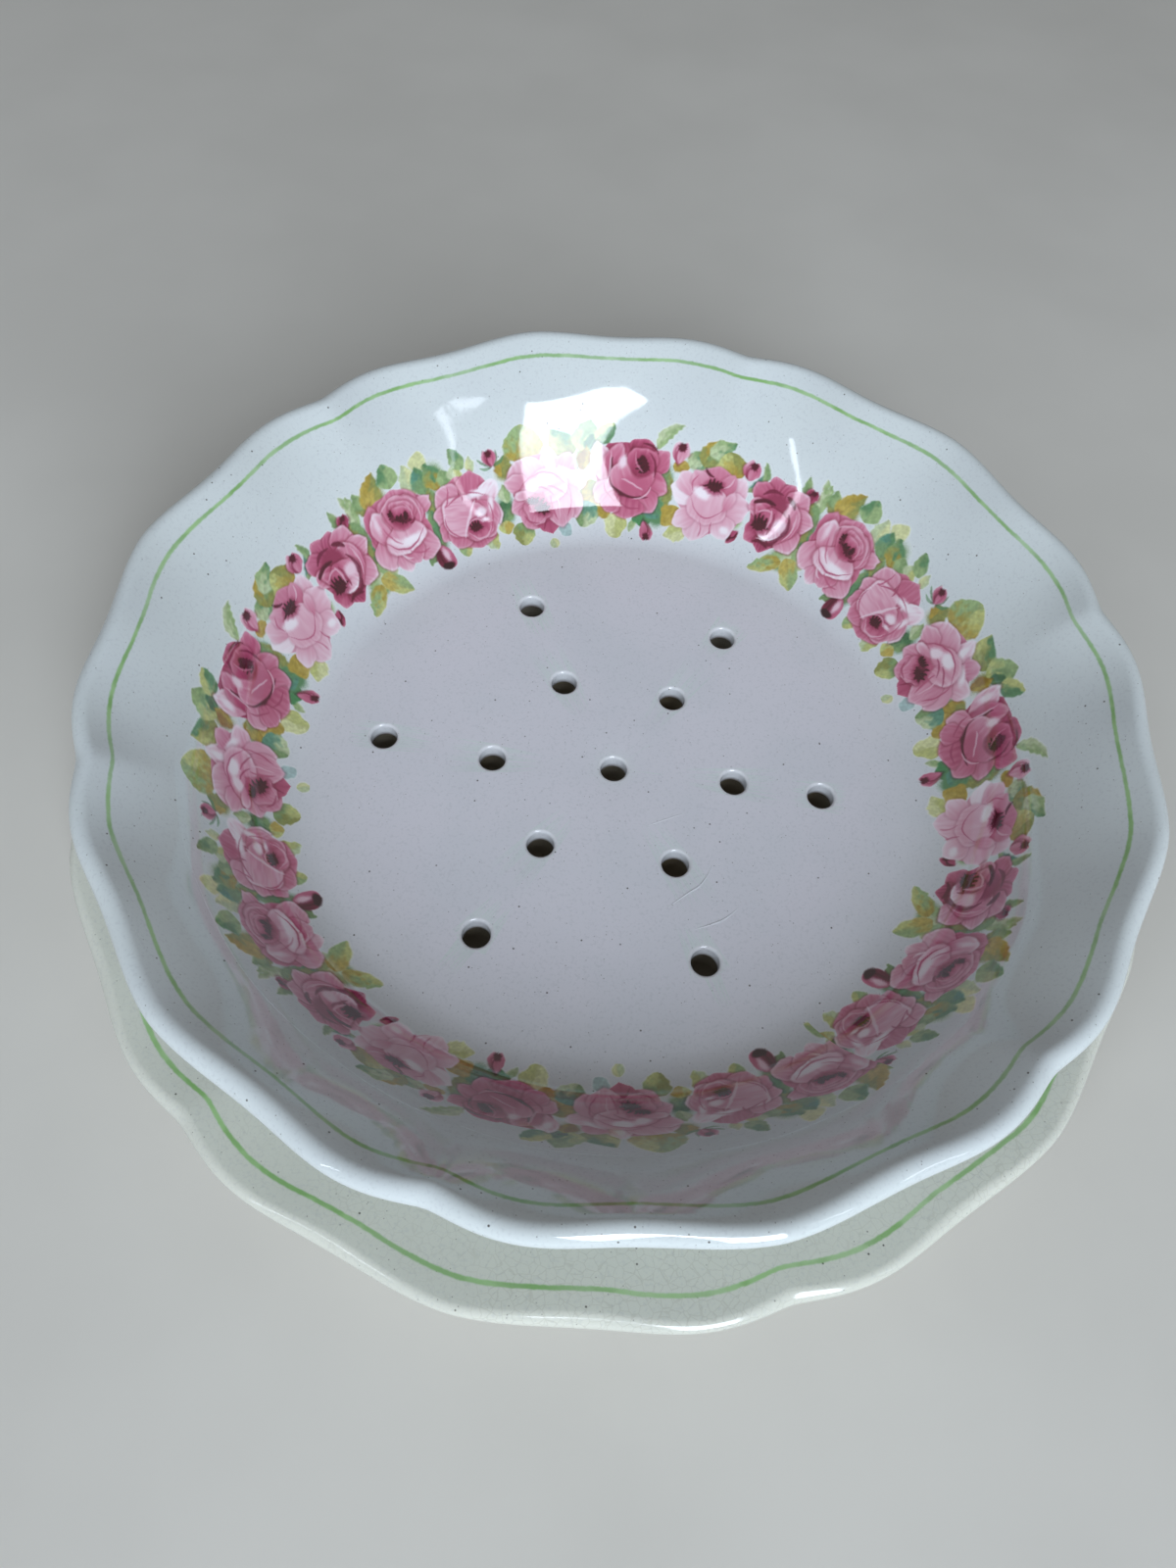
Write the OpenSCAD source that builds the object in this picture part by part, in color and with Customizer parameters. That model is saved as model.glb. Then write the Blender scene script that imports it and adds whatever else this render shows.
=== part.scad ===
// Berry colander bowl on its underplate: glazed earthenware, in millimetres, standing on z = 0.
// The bowl has drain holes in a flat floor and lifts straight off the plate that catches the drips.
// Both rims have the same six-fold outline: a pinched cusp between two small scallops, then a wide lobe.
// The front is towards -y, and one spoke of drain holes points along +x.

/* [Rim outline] */
// How many times the outline repeats round a rim
repeats = 6; // [4:1:10]
// How far a cusp is pinched in from the mean radius
cusp_in = 1.5; // [0:0.1:3]
// How far the small scallops beside a cusp stand out
scallop_out = 0.9; // [0:0.1:3]
// How far the dip between a small scallop and a wide lobe is drawn in
dip_in = 1.3; // [0:0.1:3]
// How far a wide lobe stands out
lobe_out = 1.5; // [0:0.1:4]
// How far a rim rises at the top of a wide lobe
lobe_rise = 0.5; // [0:0.1:3]

/* [Bowl] */
// Mean outer diameter of the bowl at its rim
bowl_d = 250; // [220:1:290]
// Depth inside the bowl, from its floor to the top of its lip
bowl_depth = 41.5; // [32:0.5:60]
// Diameter of the flat part of the floor
bowl_floor_d = 156; // [152:1:176]
// Thickness of the floor, glaze included
bowl_floor_t = 5; // [4:0.1:8]
// Thickness of the wall
bowl_wall_t = 4.4; // [3.4:0.1:5]
// Thickness of the rounded lip
bowl_lip_t = 5.4; // [4:0.1:7]
// Direction of the first cusp, anticlockwise from +x, in degrees
bowl_cusp_turn = 18.5; // [0:0.5:60]
// Outer diameter of the foot ring
bowl_foot_d = 148; // [140:1:152]
// Width of the foot ring where it stands
bowl_foot_w = 4.5; // [3:0.1:8]
// Height of the foot ring below the floor
bowl_foot_h = 6; // [5:0.5:10]

/* [Drain holes] */
// Diameter of a drain hole
drain_d = 7; // [6:0.1:9]
// Width of the softened edge round each end of a hole
drain_edge = 0.6; // [0.2:0.1:1.5]
// Number of spokes that the holes lie on
spokes = 6; // [3:1:8]
// Diameter of the inner ring of holes
inner_ring_d = 62.3; // [40:0.1:70]
// Diameter of the outer ring of holes
outer_ring_d = 116.6; // [96:0.1:118]
// How much of their real wander the hand-pierced holes have, from none to all of it
wander = 1; // [0:0.1:1]

/* [Underplate] */
// Mean outer diameter of the plate at its rim
plate_d = 271; // [246:0.5:310]
// Height of the plate, from the table to the top of its lip
plate_h = 25; // [20:0.5:36]
// Diameter of the flat well that the bowl stands in
plate_well_d = 168; // [156:1:180]
// Thickness of the plate
plate_t = 4.2; // [3:0.1:5]
// Thickness of the plate's rounded lip
plate_lip_t = 4.4; // [3.4:0.1:6]
// Direction of the plate's first cusp, anticlockwise from +x, in degrees
plate_cusp_turn = 51.5; // [0:0.5:60]
// Outer diameter of the plate's foot ring
plate_foot_d = 158; // [140:1:164]
// Width of the plate's foot ring where it stands
plate_foot_w = 5; // [3:0.1:8]
// Height of the plate's foot ring below the well
plate_foot_h = 3.3; // [2:0.1:6]

/* [Hidden] */

// Overrun of a cut past the face that it opens
overrun = 1;
// How far one solid of a body reaches into the next
lap = 1;
// How far the scalloped ring stands proud of the round wall that it grows from
seam = 0.05;

// Facets in each repeat of an outline, an even number so that a cusp and a lobe both get one
repeat_facets = 24;
facets = repeats * repeat_facets;
// Facets of the exact round parts
round_facets = 180;
drain_facets = 48;

// Where the outline turns within half a repeat: at the top of a small scallop, and at the dip after it
scallop_turn_share = 0.23;
dip_turn_share = 0.57;
half_repeat = 180 / repeats;
scallop_turn = half_repeat * scallop_turn_share;
dip_turn = half_repeat * dip_turn_share;

// Inner profile of each piece: two bends that meet on the line between their controls,
// as shares of the run and rise from the flat to the lip
bowl_bend_shares = [[0.29, 0], [0.64, 0.72]];
bowl_meet_share = 0.72;
plate_bend_shares = [[0.16, 0], [0.34, 0.6]];
plate_meet_share = 0.5;
bend_steps = 6;

// How far each hole was pierced off its ring and its spoke by hand, from the spoke on +x round,
// as shares of the ring's radius and of the turn from one spoke to the next
inner_wander_shares = [[0.03, 0.01], [-0.08, 0.02], [-0.01, 0.04], [0.04, 0.04], [-0.04, -0.05], [0.02, 0.09]];
outer_wander_shares = [[-0.05, -0.01], [-0.05, 0.02], [0.02, -0.01], [0.065, -0.02], [0.01, 0.02], [0, -0.03]];

// The rounded lip, as directions from its centre: from the inner side over the top to the underside
lip_turns = [195, 165, 135, 112, 90, 68, 45, 22, 0, -28];
// Where the wall's inner face runs into the lip, below the lip's centre, as a share of the lip's radius
lip_root_share = 0.42;

// Heights that follow
well_top = plate_foot_h + plate_t;
bowl_under = well_top + bowl_foot_h;
bowl_floor = bowl_under + bowl_floor_t;
// The softened edges of the foot rings, as a share of their width
foot_edge_share = 0.2;
// How far a foot ring widens towards the piece that it carries, as a share of its width
foot_flare_share = 0.35;

// Degrees from direction a to the nearest cusp
function from_cusp(a) = abs((a % (2 * half_repeat) + 3 * half_repeat) % (2 * half_repeat) - half_repeat);
function eased(share) = (1 - cos(180 * share)) / 2;
function blend(from, to, share) = from + (to - from) * share;

// How far the rim stands out from its mean radius, t degrees from a cusp
function outline(t) =
    t < scallop_turn ? blend(-cusp_in, scallop_out, sin(90 * t / scallop_turn))
    : t < dip_turn ? blend(scallop_out, -dip_in, eased((t - scallop_turn) / (dip_turn - scallop_turn)))
    : blend(-dip_in, lobe_out, eased((t - dip_turn) / (half_repeat - dip_turn)));
// How far the rim rises, t degrees from a cusp
function lift(t) = t < dip_turn ? 0 : lobe_rise * eased((t - dip_turn) / (half_repeat - dip_turn));

// A bend from one point to another, drawn towards its control
function bend(from, control, to) = [
    for (i = [0:bend_steps])
        blend(blend(from, control, i / bend_steps), blend(control, to, i / bend_steps), i / bend_steps)
];

// Inner profile [radius, height] from the flat's edge to the root of the lip
function inner_profile(flat_r, flat_z, root, shares, meet_share) =
    let (span = root - [flat_r, flat_z],
         first = [flat_r + span[0] * shares[0][0], flat_z + span[1] * shares[0][1]],
         second = [flat_r + span[0] * shares[1][0], flat_z + span[1] * shares[1][1]],
         meet = blend(first, second, meet_share),
         upper = bend(meet, second, root))
    concat(bend([flat_r, flat_z], first, meet), [for (i = [1:bend_steps]) upper[i]]);

// The same profile moved square to itself, to the underside
function underside(points, t) = [
    for (i = [0:len(points) - 1])
        let (before = points[max(i - 1, 0)],
             after = points[min(i + 1, len(points) - 1)],
             along = (after - before) / norm(after - before))
        points[i] + t * [along[1], -along[0]]
];

function crossing(p, q, z) = blend(p, q, (z - p[1]) / (q[1] - p[1]));
// The part of a rising profile below height z, closed by a point at z
function below(points, z) = [
    for (i = [0:len(points) - 2])
        if (points[i][1] < z)
            each (points[i + 1][1] < z ? [points[i]] : [points[i], crossing(points[i], points[i + 1], z)])
];
// The part above height z, opened by a point at z
function above(points, z) = [
    for (i = [1:len(points) - 1])
        if (points[i][1] > z)
            each (points[i - 1][1] > z ? [points[i]] : [crossing(points[i - 1], points[i], z), points[i]])
];
function backwards(points) = [for (i = [len(points) - 1:-1:0]) points[i]];
function lip_centre(rim_r, top_z, lip_t) = [rim_r - lip_t / 2, top_z - lip_t / 2];
function lip_root(rim_r, top_z, lip_t) = lip_centre(rim_r, top_z, lip_t) - lip_t / 2 * [1, lip_root_share];
function lip_points(rim_r, top_z, lip_t) = [
    for (a = lip_turns) lip_centre(rim_r, top_z, lip_t) + lip_t / 2 * [cos(a), sin(a)]
];

// A closed section swept round the axis and drawn out by the outline, fully at lip_z and not at all at seam_z
module scalloped_ring(section, seam_z, lip_z, cusp_turn) {
    n = len(section);
    points = [
        for (k = [0:facets - 1])
            let (t = from_cusp(k * 360 / facets))
            for (p = section)
                let (share = pow(max(0, p[1] - seam_z) / (lip_z - seam_z), 2),
                     r = p[0] + share * outline(t),
                     a = cusp_turn + k * 360 / facets)
                [r * cos(a), r * sin(a), p[1] + share * lift(t)]
    ];
    faces = [
        for (k = [0:facets - 1], i = [0:n - 1])
            let (k2 = (k + 1) % facets, i2 = (i + 1) % n)
            each [[k * n + i, k2 * n + i2, k * n + i2], [k * n + i, k2 * n + i, k2 * n + i2]]
    ];
    polyhedron(points, faces);
}

// The scalloped upper wall and lip of a piece, a little proud of its round wall at their foot
module scalloped_rim(inner, outer, rim_r, top_z, lip_t, cusp_turn) {
    seam_z = inner[bend_steps][1];
    scalloped_ring(concat(
        [for (p = above(inner, seam_z)) p - [seam, 0]],
        lip_points(rim_r, top_z, lip_t),
        [for (p = backwards(above(outer, seam_z))) p + [seam, 0]]),
        seam_z, top_z, cusp_turn);
}

// The round floor and lower wall of a piece, on its foot ring
module round_base(inner, outer, under_z, foot_d, foot_w, foot_z) {
    flat = inner[0];
    top_z = inner[bend_steps][1] + lap;
    wall = [for (p = outer) if (p[1] > under_z && p[0] > flat[0]) p];
    rotate_extrude($fn = round_facets)
        union() {
            polygon(concat(
                [[0, under_z], [wall[0][0] - (wall[0][1] - under_z), under_z]],
                below(wall, top_z),
                backwards(below(inner, top_z)),
                [[0, flat[1]]]));
            foot_section(foot_d / 2, foot_w, foot_z, under_z + lap);
        }
}

// Section of a foot ring, from its bearing face at foot_z up into the piece at top_z
module foot_section(foot_r, foot_w, foot_z, top_z) {
    edge = foot_w * foot_edge_share;
    flare = foot_w * foot_flare_share;
    polygon([
        [foot_r - foot_w + edge, foot_z],
        [foot_r - edge, foot_z],
        [foot_r, foot_z + edge],
        [foot_r + flare, top_z],
        [foot_r - foot_w - flare, top_z],
        [foot_r - foot_w, foot_z + edge]
    ]);
}

// One end of a drain hole, its edge softened, where it opens at height z towards side 1 (up) or -1 (down)
module softened_end(z, side) {
    translate([0, 0, z])
        rotate_extrude($fn = drain_facets)
            polygon([
                [0, -side * drain_edge],
                [drain_d / 2, -side * drain_edge],
                [drain_d / 2 + drain_edge, 0],
                [drain_d / 2 + drain_edge, side * overrun],
                [0, side * overrun]
            ]);
}

// One drain hole through the floor
module drain_hole() {
    translate([0, 0, bowl_under - overrun])
        cylinder(d = drain_d, h = bowl_floor_t + 2 * overrun, $fn = drain_facets);
    softened_end(bowl_floor, 1);
    softened_end(bowl_under, -1);
}

// A ring of drain holes, one near each spoke
module ring_of_holes(ring_d, wander_shares) {
    for (k = [0:spokes - 1])
        let (off = wander * wander_shares[k % len(wander_shares)])
            rotate([0, 0, (k + off[1]) * 360 / spokes])
                translate([ring_d / 2 * (1 + off[0]), 0, 0])
                    drain_hole();
}

// All drain holes: one in the middle, and two rings on the same spokes
module drain_holes() {
    drain_hole();
    ring_of_holes(inner_ring_d, inner_wander_shares);
    ring_of_holes(outer_ring_d, outer_wander_shares);
}

// The pierced bowl, whose foot ring stands on the plate's well
module colander_bowl() {
    top_z = bowl_floor + bowl_depth;
    inner = inner_profile(bowl_floor_d / 2, bowl_floor, lip_root(bowl_d / 2, top_z, bowl_lip_t),
                          bowl_bend_shares, bowl_meet_share);
    outer = underside(inner, bowl_wall_t);
    color("Ivory")
        difference() {
            union() {
                round_base(inner, outer, bowl_under, bowl_foot_d, bowl_foot_w, well_top);
                scalloped_rim(inner, outer, bowl_d / 2, top_z, bowl_lip_t, bowl_cusp_turn);
            }
            drain_holes();
        }
}

// The plate that the bowl stands on
module underplate() {
    inner = inner_profile(plate_well_d / 2, well_top, lip_root(plate_d / 2, plate_h, plate_lip_t),
                          plate_bend_shares, plate_meet_share);
    outer = underside(inner, plate_t);
    color("FloralWhite")
        union() {
            round_base(inner, outer, plate_foot_h, plate_foot_d, plate_foot_w, 0);
            scalloped_rim(inner, outer, plate_d / 2, plate_h, plate_lip_t, plate_cusp_turn);
        }
}

underplate();
colander_bowl();
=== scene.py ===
# %% [markdown]
# # A pierced berry bowl on its underplate
# This lesson dresses two pieces of glazed earthenware: a berry bowl with drain holes in its floor, and
# the plate that it drips into. The solid model already says how big each piece is and how the bowl lifts
# off. Here we turn the clay, scallop the rims, pierce the floor, and then do what a pottery's
# decorators did: band the rims with green and lay a rose garland round the inside.

# %% Load the frame
from math import atan2, cos, degrees, hypot, pi, radians, sin

import bpy
import numpy as np
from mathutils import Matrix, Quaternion, Vector


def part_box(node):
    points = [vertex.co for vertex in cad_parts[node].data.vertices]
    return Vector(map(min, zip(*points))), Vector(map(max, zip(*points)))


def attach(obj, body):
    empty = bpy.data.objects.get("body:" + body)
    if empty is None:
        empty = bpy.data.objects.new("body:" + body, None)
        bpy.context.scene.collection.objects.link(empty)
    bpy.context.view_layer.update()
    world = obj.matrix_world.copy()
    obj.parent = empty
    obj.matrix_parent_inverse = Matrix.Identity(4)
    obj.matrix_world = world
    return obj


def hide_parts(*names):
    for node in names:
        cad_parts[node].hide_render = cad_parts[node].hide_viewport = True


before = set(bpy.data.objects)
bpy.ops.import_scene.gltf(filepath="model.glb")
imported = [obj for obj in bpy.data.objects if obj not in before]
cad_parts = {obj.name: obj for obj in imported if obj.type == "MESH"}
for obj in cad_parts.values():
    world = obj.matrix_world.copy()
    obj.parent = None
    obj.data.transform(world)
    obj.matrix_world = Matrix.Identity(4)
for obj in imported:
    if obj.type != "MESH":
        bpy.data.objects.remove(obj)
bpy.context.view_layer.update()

# %% [markdown]
# ## Sizes
# Every size is a real one in millimetres, times `MM`, because Blender works in metres. The heights start
# from the solid model's own boxes, so that the turned pieces stand exactly where the solids stand.

# %% Sizes of the bowl and the plate
MM = 0.001
FOOT_HEIGHT, FLOOR_THICK = 6 * MM, 5 * MM
well_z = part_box("colander_bowl")[0][2]
under_z = well_z + FOOT_HEIGHT
floor_z = under_z + FLOOR_THICK

BOWL = dict(
    rim_r=125 * MM, top_z=floor_z + 41.5 * MM, lip_t=5.4 * MM, wall_t=4.4 * MM,
    flat_r=78 * MM, flat_z=floor_z, under_z=under_z, cusp_turn=18.5,
    bends=((0.29, 0.0), (0.64, 0.72)), meet=0.72,
    foot_r=74 * MM, foot_w=4.5 * MM, foot_z=well_z,
)
PLATE = dict(
    rim_r=135.45 * MM, top_z=25 * MM, lip_t=4.4 * MM, wall_t=4.2 * MM,
    flat_r=84 * MM, flat_z=well_z, under_z=3.3 * MM, cusp_turn=51.5,
    bends=((0.16, 0.0), (0.34, 0.6)), meet=0.5,
    foot_r=79 * MM, foot_w=5 * MM, foot_z=0.0,
)
print("inner floor at", round(floor_z / MM, 1), "mm, bowl rim at", round(BOWL["top_z"] / MM, 1), "mm")

# %% [markdown]
# ## The section of a piece
# A plate or bowl is a body of revolution, so a potter needs only one thing: the section that the profile
# tool cuts. The inside is two gentle bends. The underside is the same line moved outwards by the
# thickness of the clay. Between them sits the round lip, a little thicker than the wall. We work these out
# as points of radius and height. The alternative, modelling the wall face by face, would leave flats that
# a glossy glaze shows at once.

# %% The line of the inside
BEND_STEPS = 24
ROOT_SHARE = 0.42
JOIN_TRIES = 12


def mix(a, b, share):
    return a + (b - a) * share


def bend(start, control, end, steps):
    """Points of a bend from start to end, drawn towards its control."""
    share = np.linspace(0, 1, steps + 1)[:, None]
    return mix(mix(start, control, share), mix(control, end, share), share)


def inner_line(p, steps=BEND_STEPS):
    """The inside of a piece from its flat's edge to its lip, the height where its bends meet, and the
    centre of its lip. The last bend runs into the round of the lip at its own slope, so no groove shows."""
    half_lip = p["lip_t"] / 2
    centre = np.array([p["rim_r"] - half_lip, p["top_z"] - half_lip])
    root = centre - half_lip * np.array([1, ROOT_SHARE])
    flat = np.array([p["flat_r"], p["flat_z"]])
    first = flat + (root - flat) * np.array(p["bends"][0])
    second = flat + (root - flat) * np.array(p["bends"][1])
    meet = mix(first, second, p["meet"])
    slope = 0.0
    for _ in range(JOIN_TRIES):
        join = centre + half_lip * np.array([-sin(slope), cos(slope)])
        slope = atan2(join[1] - second[1], join[0] - second[0])
    line = np.concatenate([bend(flat, first, meet, steps), bend(meet, second, join, steps)[1:]])
    return line, meet[1], centre


def moved_out(line, distance):
    """The line moved square to itself, away from the inside."""
    along = np.gradient(line, axis=0)
    along /= np.linalg.norm(along, axis=1)[:, None]
    return line + distance * np.stack([along[:, 1], -along[:, 0]], 1)


print("the bowl's inside meets its lip at", (inner_line(BOWL)[0][-1] / MM).round(1), "mm")

# %% The whole section
LIP_STEPS = 18
LIP_END = -55
BEAD_MM = 6
FOOT_EDGE, FOOT_FLARE = 0.2, 0.35
FLOOR_SHARES = (0, 0.2, 0.4, 0.6, 0.8, 0.92)
UNDER_SHARES = (0.8, 0.5, 0.25, 0)


def foot_ring(p):
    """Points of a foot ring from its outer root, under its softened edges, to its inner root."""
    r, w, z, top = p["foot_r"], p["foot_w"], p["foot_z"], p["under_z"]
    edge, flare = FOOT_EDGE * w, FOOT_FLARE * w
    half = np.array([(0, z + edge), (-0.3 * edge, z + 0.3 * edge), (-edge, z)])
    outer = [(r + flare, top)] + [(r + across, height) for across, height in half]
    inner = [(r - w - across, height) for across, height in half[::-1]] + [(r - w - flare, top)]
    return np.array(outer + inner)


def section(p):
    """The closed section of a piece, from the middle of its floor over the lip and down to its foot."""
    line, _, centre = inner_line(p)
    from_join = atan2(*(line[-1] - centre)[::-1])
    turn = np.linspace(from_join, radians(LIP_END), LIP_STEPS)
    lip = centre + p["lip_t"] / 2 * np.stack([np.cos(turn), np.sin(turn)], 1)
    outer = moved_out(line, p["wall_t"])[::-1]
    below_bead = np.hypot(*(outer - outer[0]).T) > BEAD_MM * MM
    outer = outer[below_bead & (outer[:, 1] > p["under_z"]) & (outer[:, 0] > p["flat_r"])]
    corner = [[outer[-1][0] - (outer[-1][1] - p["under_z"]), p["under_z"]]]
    inside = [(share * p["flat_r"], p["flat_z"]) for share in FLOOR_SHARES]
    beneath = [(share * p["foot_r"], p["under_z"]) for share in UNDER_SHARES]
    return np.concatenate([inside, line, lip[1:], outer, corner, foot_ring(p), beneath])


bowl_section, plate_section = section(BOWL), section(PLATE)
print("points in the sections:", len(bowl_section), len(plate_section))

# %% [markdown]
# ## The scalloped outline
# Both rims repeat six times round: a pinched cusp, a small scallop on each side of it, a dip, and one
# wide lobe. On the real piece this comes from the mould. We give it as a formula of the angle, and let
# it fade down the wall, so that the upper wall ripples and the floor stays round.

# %% Draw a turned piece out to its outline
HALF_REPEAT = 180 / 6
SCALLOP_TURN, DIP_TURN = 0.23 * HALF_REPEAT, 0.57 * HALF_REPEAT
CUSP_IN, SCALLOP_OUT, DIP_IN, LOBE_OUT, LOBE_RISE = 1.5 * MM, 0.9 * MM, 1.3 * MM, 1.5 * MM, 0.5 * MM
CUSP_SOFT = 0.8


def eased(share):
    return (1 - np.cos(pi * share)) / 2


def outline(angle):
    """How far the rim stands out from its mean radius, and how far it rises, at an angle from a cusp."""
    t = np.abs((angle + HALF_REPEAT) % (2 * HALF_REPEAT) - HALF_REPEAT)
    t = np.hypot(t, CUSP_SOFT) - CUSP_SOFT
    small = mix(-CUSP_IN, SCALLOP_OUT, np.sin(pi / 2 * np.clip(t / SCALLOP_TURN, 0, 1)))
    dip = mix(SCALLOP_OUT, -DIP_IN, eased((t - SCALLOP_TURN) / (DIP_TURN - SCALLOP_TURN)))
    wide = eased(np.clip((t - DIP_TURN) / (HALF_REPEAT - DIP_TURN), 0, 1))
    out = np.where(t < SCALLOP_TURN, small, np.where(t < DIP_TURN, dip, mix(-DIP_IN, LOBE_OUT, wide)))
    return out, LOBE_RISE * wide


def scalloped(points, p):
    """Points moved out to the outline: fully at the lip, and not at all below where the bends meet."""
    seam_z = inner_line(p)[1]
    angle = np.degrees(np.arctan2(points[:, 1], points[:, 0])) - p["cusp_turn"]
    share = (np.clip(points[:, 2] - seam_z, 0, None) / (p["top_z"] - seam_z)) ** 2
    out, rise = outline(angle)
    r = np.maximum(np.hypot(points[:, 0], points[:, 1]), 1e-9)
    moved = points * (1 + (share * out / r)[:, None] * np.array([1, 1, 0]))
    moved[:, 2] += share * rise
    return moved


print("rim runs from", CUSP_IN / MM, "mm inside to", LOBE_OUT / MM, "mm outside its mean radius")


# %% Read and write a mesh's points
def get_points(mesh):
    flat = np.empty(3 * len(mesh.vertices))
    mesh.vertices.foreach_get("co", flat)
    return flat.reshape(-1, 3)


def set_points(mesh, points):
    mesh.vertices.foreach_set("co", points.ravel())
    mesh.update()


print("points are read and written by", get_points.__name__, "and", set_points.__name__)

# %% [markdown]
# ## Turning a piece
# We add a circle with one vertex for each point of the section, move its vertices onto the section, and
# send the loop round the axis, as the wheel does. The spin operator would do it too, but it copies the
# shape once a step and takes minutes over hundreds of steps. A Screw modifier with no rise gives the same
# surface at once. It leaves doubles at the seam and at the pole, and perhaps a shape that is inside out, so
# both are put right in edit mode. A part turn leaves two open ends, which are filled.

# %% Turn the bowl and the plate
TURN_STEPS = 480
MERGE = 0.002 * MM


def deselect_all():
    bpy.ops.object.select_all(action="DESELECT")


def turned(name, points, steps=TURN_STEPS, start=0.0, sweep=360.0):
    """A closed section sent round the z axis, from one direction through a sweep in degrees."""
    deselect_all()
    bpy.ops.mesh.primitive_circle_add(vertices=len(points), radius=1)
    ob = bpy.context.object
    ob.name = ob.data.name = name
    a = radians(start)
    set_points(ob.data, np.stack([points[:, 0] * cos(a), points[:, 0] * sin(a), points[:, 1]], 1))
    wheel = ob.modifiers.new("wheel", "SCREW")
    wheel.axis, wheel.angle, wheel.steps, wheel.render_steps = "Z", radians(sweep), steps, steps
    bpy.ops.object.modifier_apply(modifier="wheel")
    bpy.ops.object.mode_set(mode="EDIT")
    bpy.ops.mesh.select_all(action="SELECT")
    bpy.ops.mesh.remove_doubles(threshold=MERGE)
    if sweep < 360:
        bpy.ops.mesh.fill_holes(sides=0)
    bpy.ops.mesh.select_all(action="SELECT")
    bpy.ops.mesh.normals_make_consistent(inside=False)
    bpy.ops.object.mode_set(mode="OBJECT")
    return ob


bowl = turned("pierced_bowl", bowl_section)
plate = turned("drip_plate", plate_section)
print("faces turned:", len(bowl.data.polygons), len(plate.data.polygons))

# %% [markdown]
# ## Measuring up the wall
# A decorator places a band by how far it lies from the rim, measured along the wall. So each vertex
# keeps that distance in an attribute, taken from the round shape, before the rim is drawn out. Bands
# laid by this distance then follow the scallops by themselves, as a brush held against the rim does.

# %% Store how far each vertex lies along the wall, then scallop both rims
OUTSIDE_MM = 200.0
SKIN = 0.1 * MM


def wall_distance(p, points):
    """Distance in mm along the inside from the flat's edge, by radius and height. The outside gets a far
    one."""
    line, _, _ = inner_line(p)
    along = np.concatenate([[0], np.cumsum(np.hypot(*np.diff(line, axis=0).T))]) / MM
    r = np.hypot(points[:, 0], points[:, 1])
    on_inside = points[:, 2] > np.interp(r, line[:, 0], line[:, 1]) - SKIN
    distance = np.interp(r, line[:, 0], along) - np.clip(p["flat_r"] - r, 0, None) / MM
    distance += np.clip(r - line[-1, 0], 0, None) / MM
    return np.where(on_inside, distance, OUTSIDE_MM)


def keep_wall_mm(mesh, distance):
    """Stores how far along the wall each vertex lies, for the materials."""
    mesh.attributes.new("wall_mm", "FLOAT", "POINT").data.foreach_set("value", distance)


for ob, p in ((bowl, BOWL), (plate, PLATE)):
    points = get_points(ob.data)
    keep_wall_mm(ob.data, wall_distance(p, points))
    set_points(ob.data, scalloped(points, p))
print("wall measured on", ", ".join(ob.name for ob in (bowl, plate)))

# %% [markdown]
# ## Drain holes
# The holes are pierced by hand while the clay is leather hard, each a little off its spoke, and the
# glaze then rounds their edges. A plain cylinder would cut a hard edge. So each cutter is a turned
# spool, narrow inside the floor and flared where it meets each face, and the Boolean leaves a softly
# rounded hole. The cutters carry a material of their own, so that the holes keep it.

# %% Places of the holes
DRAIN_R = 3.5 * MM
SPOKE_TURN = 60
INNER_R, OUTER_R = 31.15 * MM, 58.3 * MM
INNER_WANDER = ((0.03, 0.01), (-0.08, 0.02), (-0.01, 0.04), (0.04, 0.04), (-0.04, -0.05), (0.02, 0.09))
OUTER_WANDER = ((-0.05, -0.01), (-0.05, 0.02), (0.02, -0.01), (0.065, -0.02), (0.01, 0.02), (0, -0.03))


def ring_places(ring_r, wander):
    """Places of a ring of holes, each off its ring and its spoke by its own shares."""
    polar = [(ring_r * (1 + off), radians((k + swing) * SPOKE_TURN))
             for k, (off, swing) in enumerate(wander)]
    return [(r * cos(turn), r * sin(turn)) for r, turn in polar]


hole_places = [(0.0, 0.0)] + ring_places(INNER_R, INNER_WANDER) + ring_places(OUTER_R, OUTER_WANDER)
print(len(hole_places), "drain holes of", 2 * DRAIN_R / MM, "mm")

# %% The cutter
DRAIN_SOFT = 0.9 * MM
SPOOL_OVER = 0.4 * MM
SPOOL_STEPS, ROUND_POINTS = 48, 9
earthenware = bpy.data.materials.new("clear_glaze_over_earthenware")
bowl.data.materials.append(earthenware)
pierced_edge = bpy.data.materials.new("thin_glaze_in_drain_hole")
bowl.data.materials.append(pierced_edge)


def spool_section():
    """Half the section of a cutter: flared by a quarter round at each face of the floor."""
    turn = np.linspace(0, pi / 2, ROUND_POINTS)
    top_r, top_z = DRAIN_R + DRAIN_SOFT * (1 - np.cos(turn)), floor_z - DRAIN_SOFT * (1 - np.sin(turn))
    top = np.stack([top_r, top_z], 1)
    low = np.stack([top[::-1, 0], under_z + floor_z - top[::-1, 1]], 1)
    wide = DRAIN_R + DRAIN_SOFT
    above = [(wide, floor_z + SPOOL_OVER), (0, floor_z + SPOOL_OVER)]
    below = [(0, under_z - SPOOL_OVER), (wide, under_z - SPOOL_OVER)]
    return np.concatenate([top, above, below, low])


spool = turned("spool", spool_section(), steps=SPOOL_STEPS)
spool.data.materials.append(pierced_edge)
print("faces in a cutter:", len(spool.data.polygons))

# %% Pierce the floor
deselect_all()
for x, y in hole_places:
    cutter = spool.copy()
    cutter.data = spool.data.copy()
    set_points(cutter.data, get_points(cutter.data) + np.array([x, y, 0]))
    bpy.context.collection.objects.link(cutter)
    cutter.select_set(True)
    bpy.context.view_layer.objects.active = cutter
bpy.ops.object.join()
all_cutters = bpy.context.object

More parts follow.
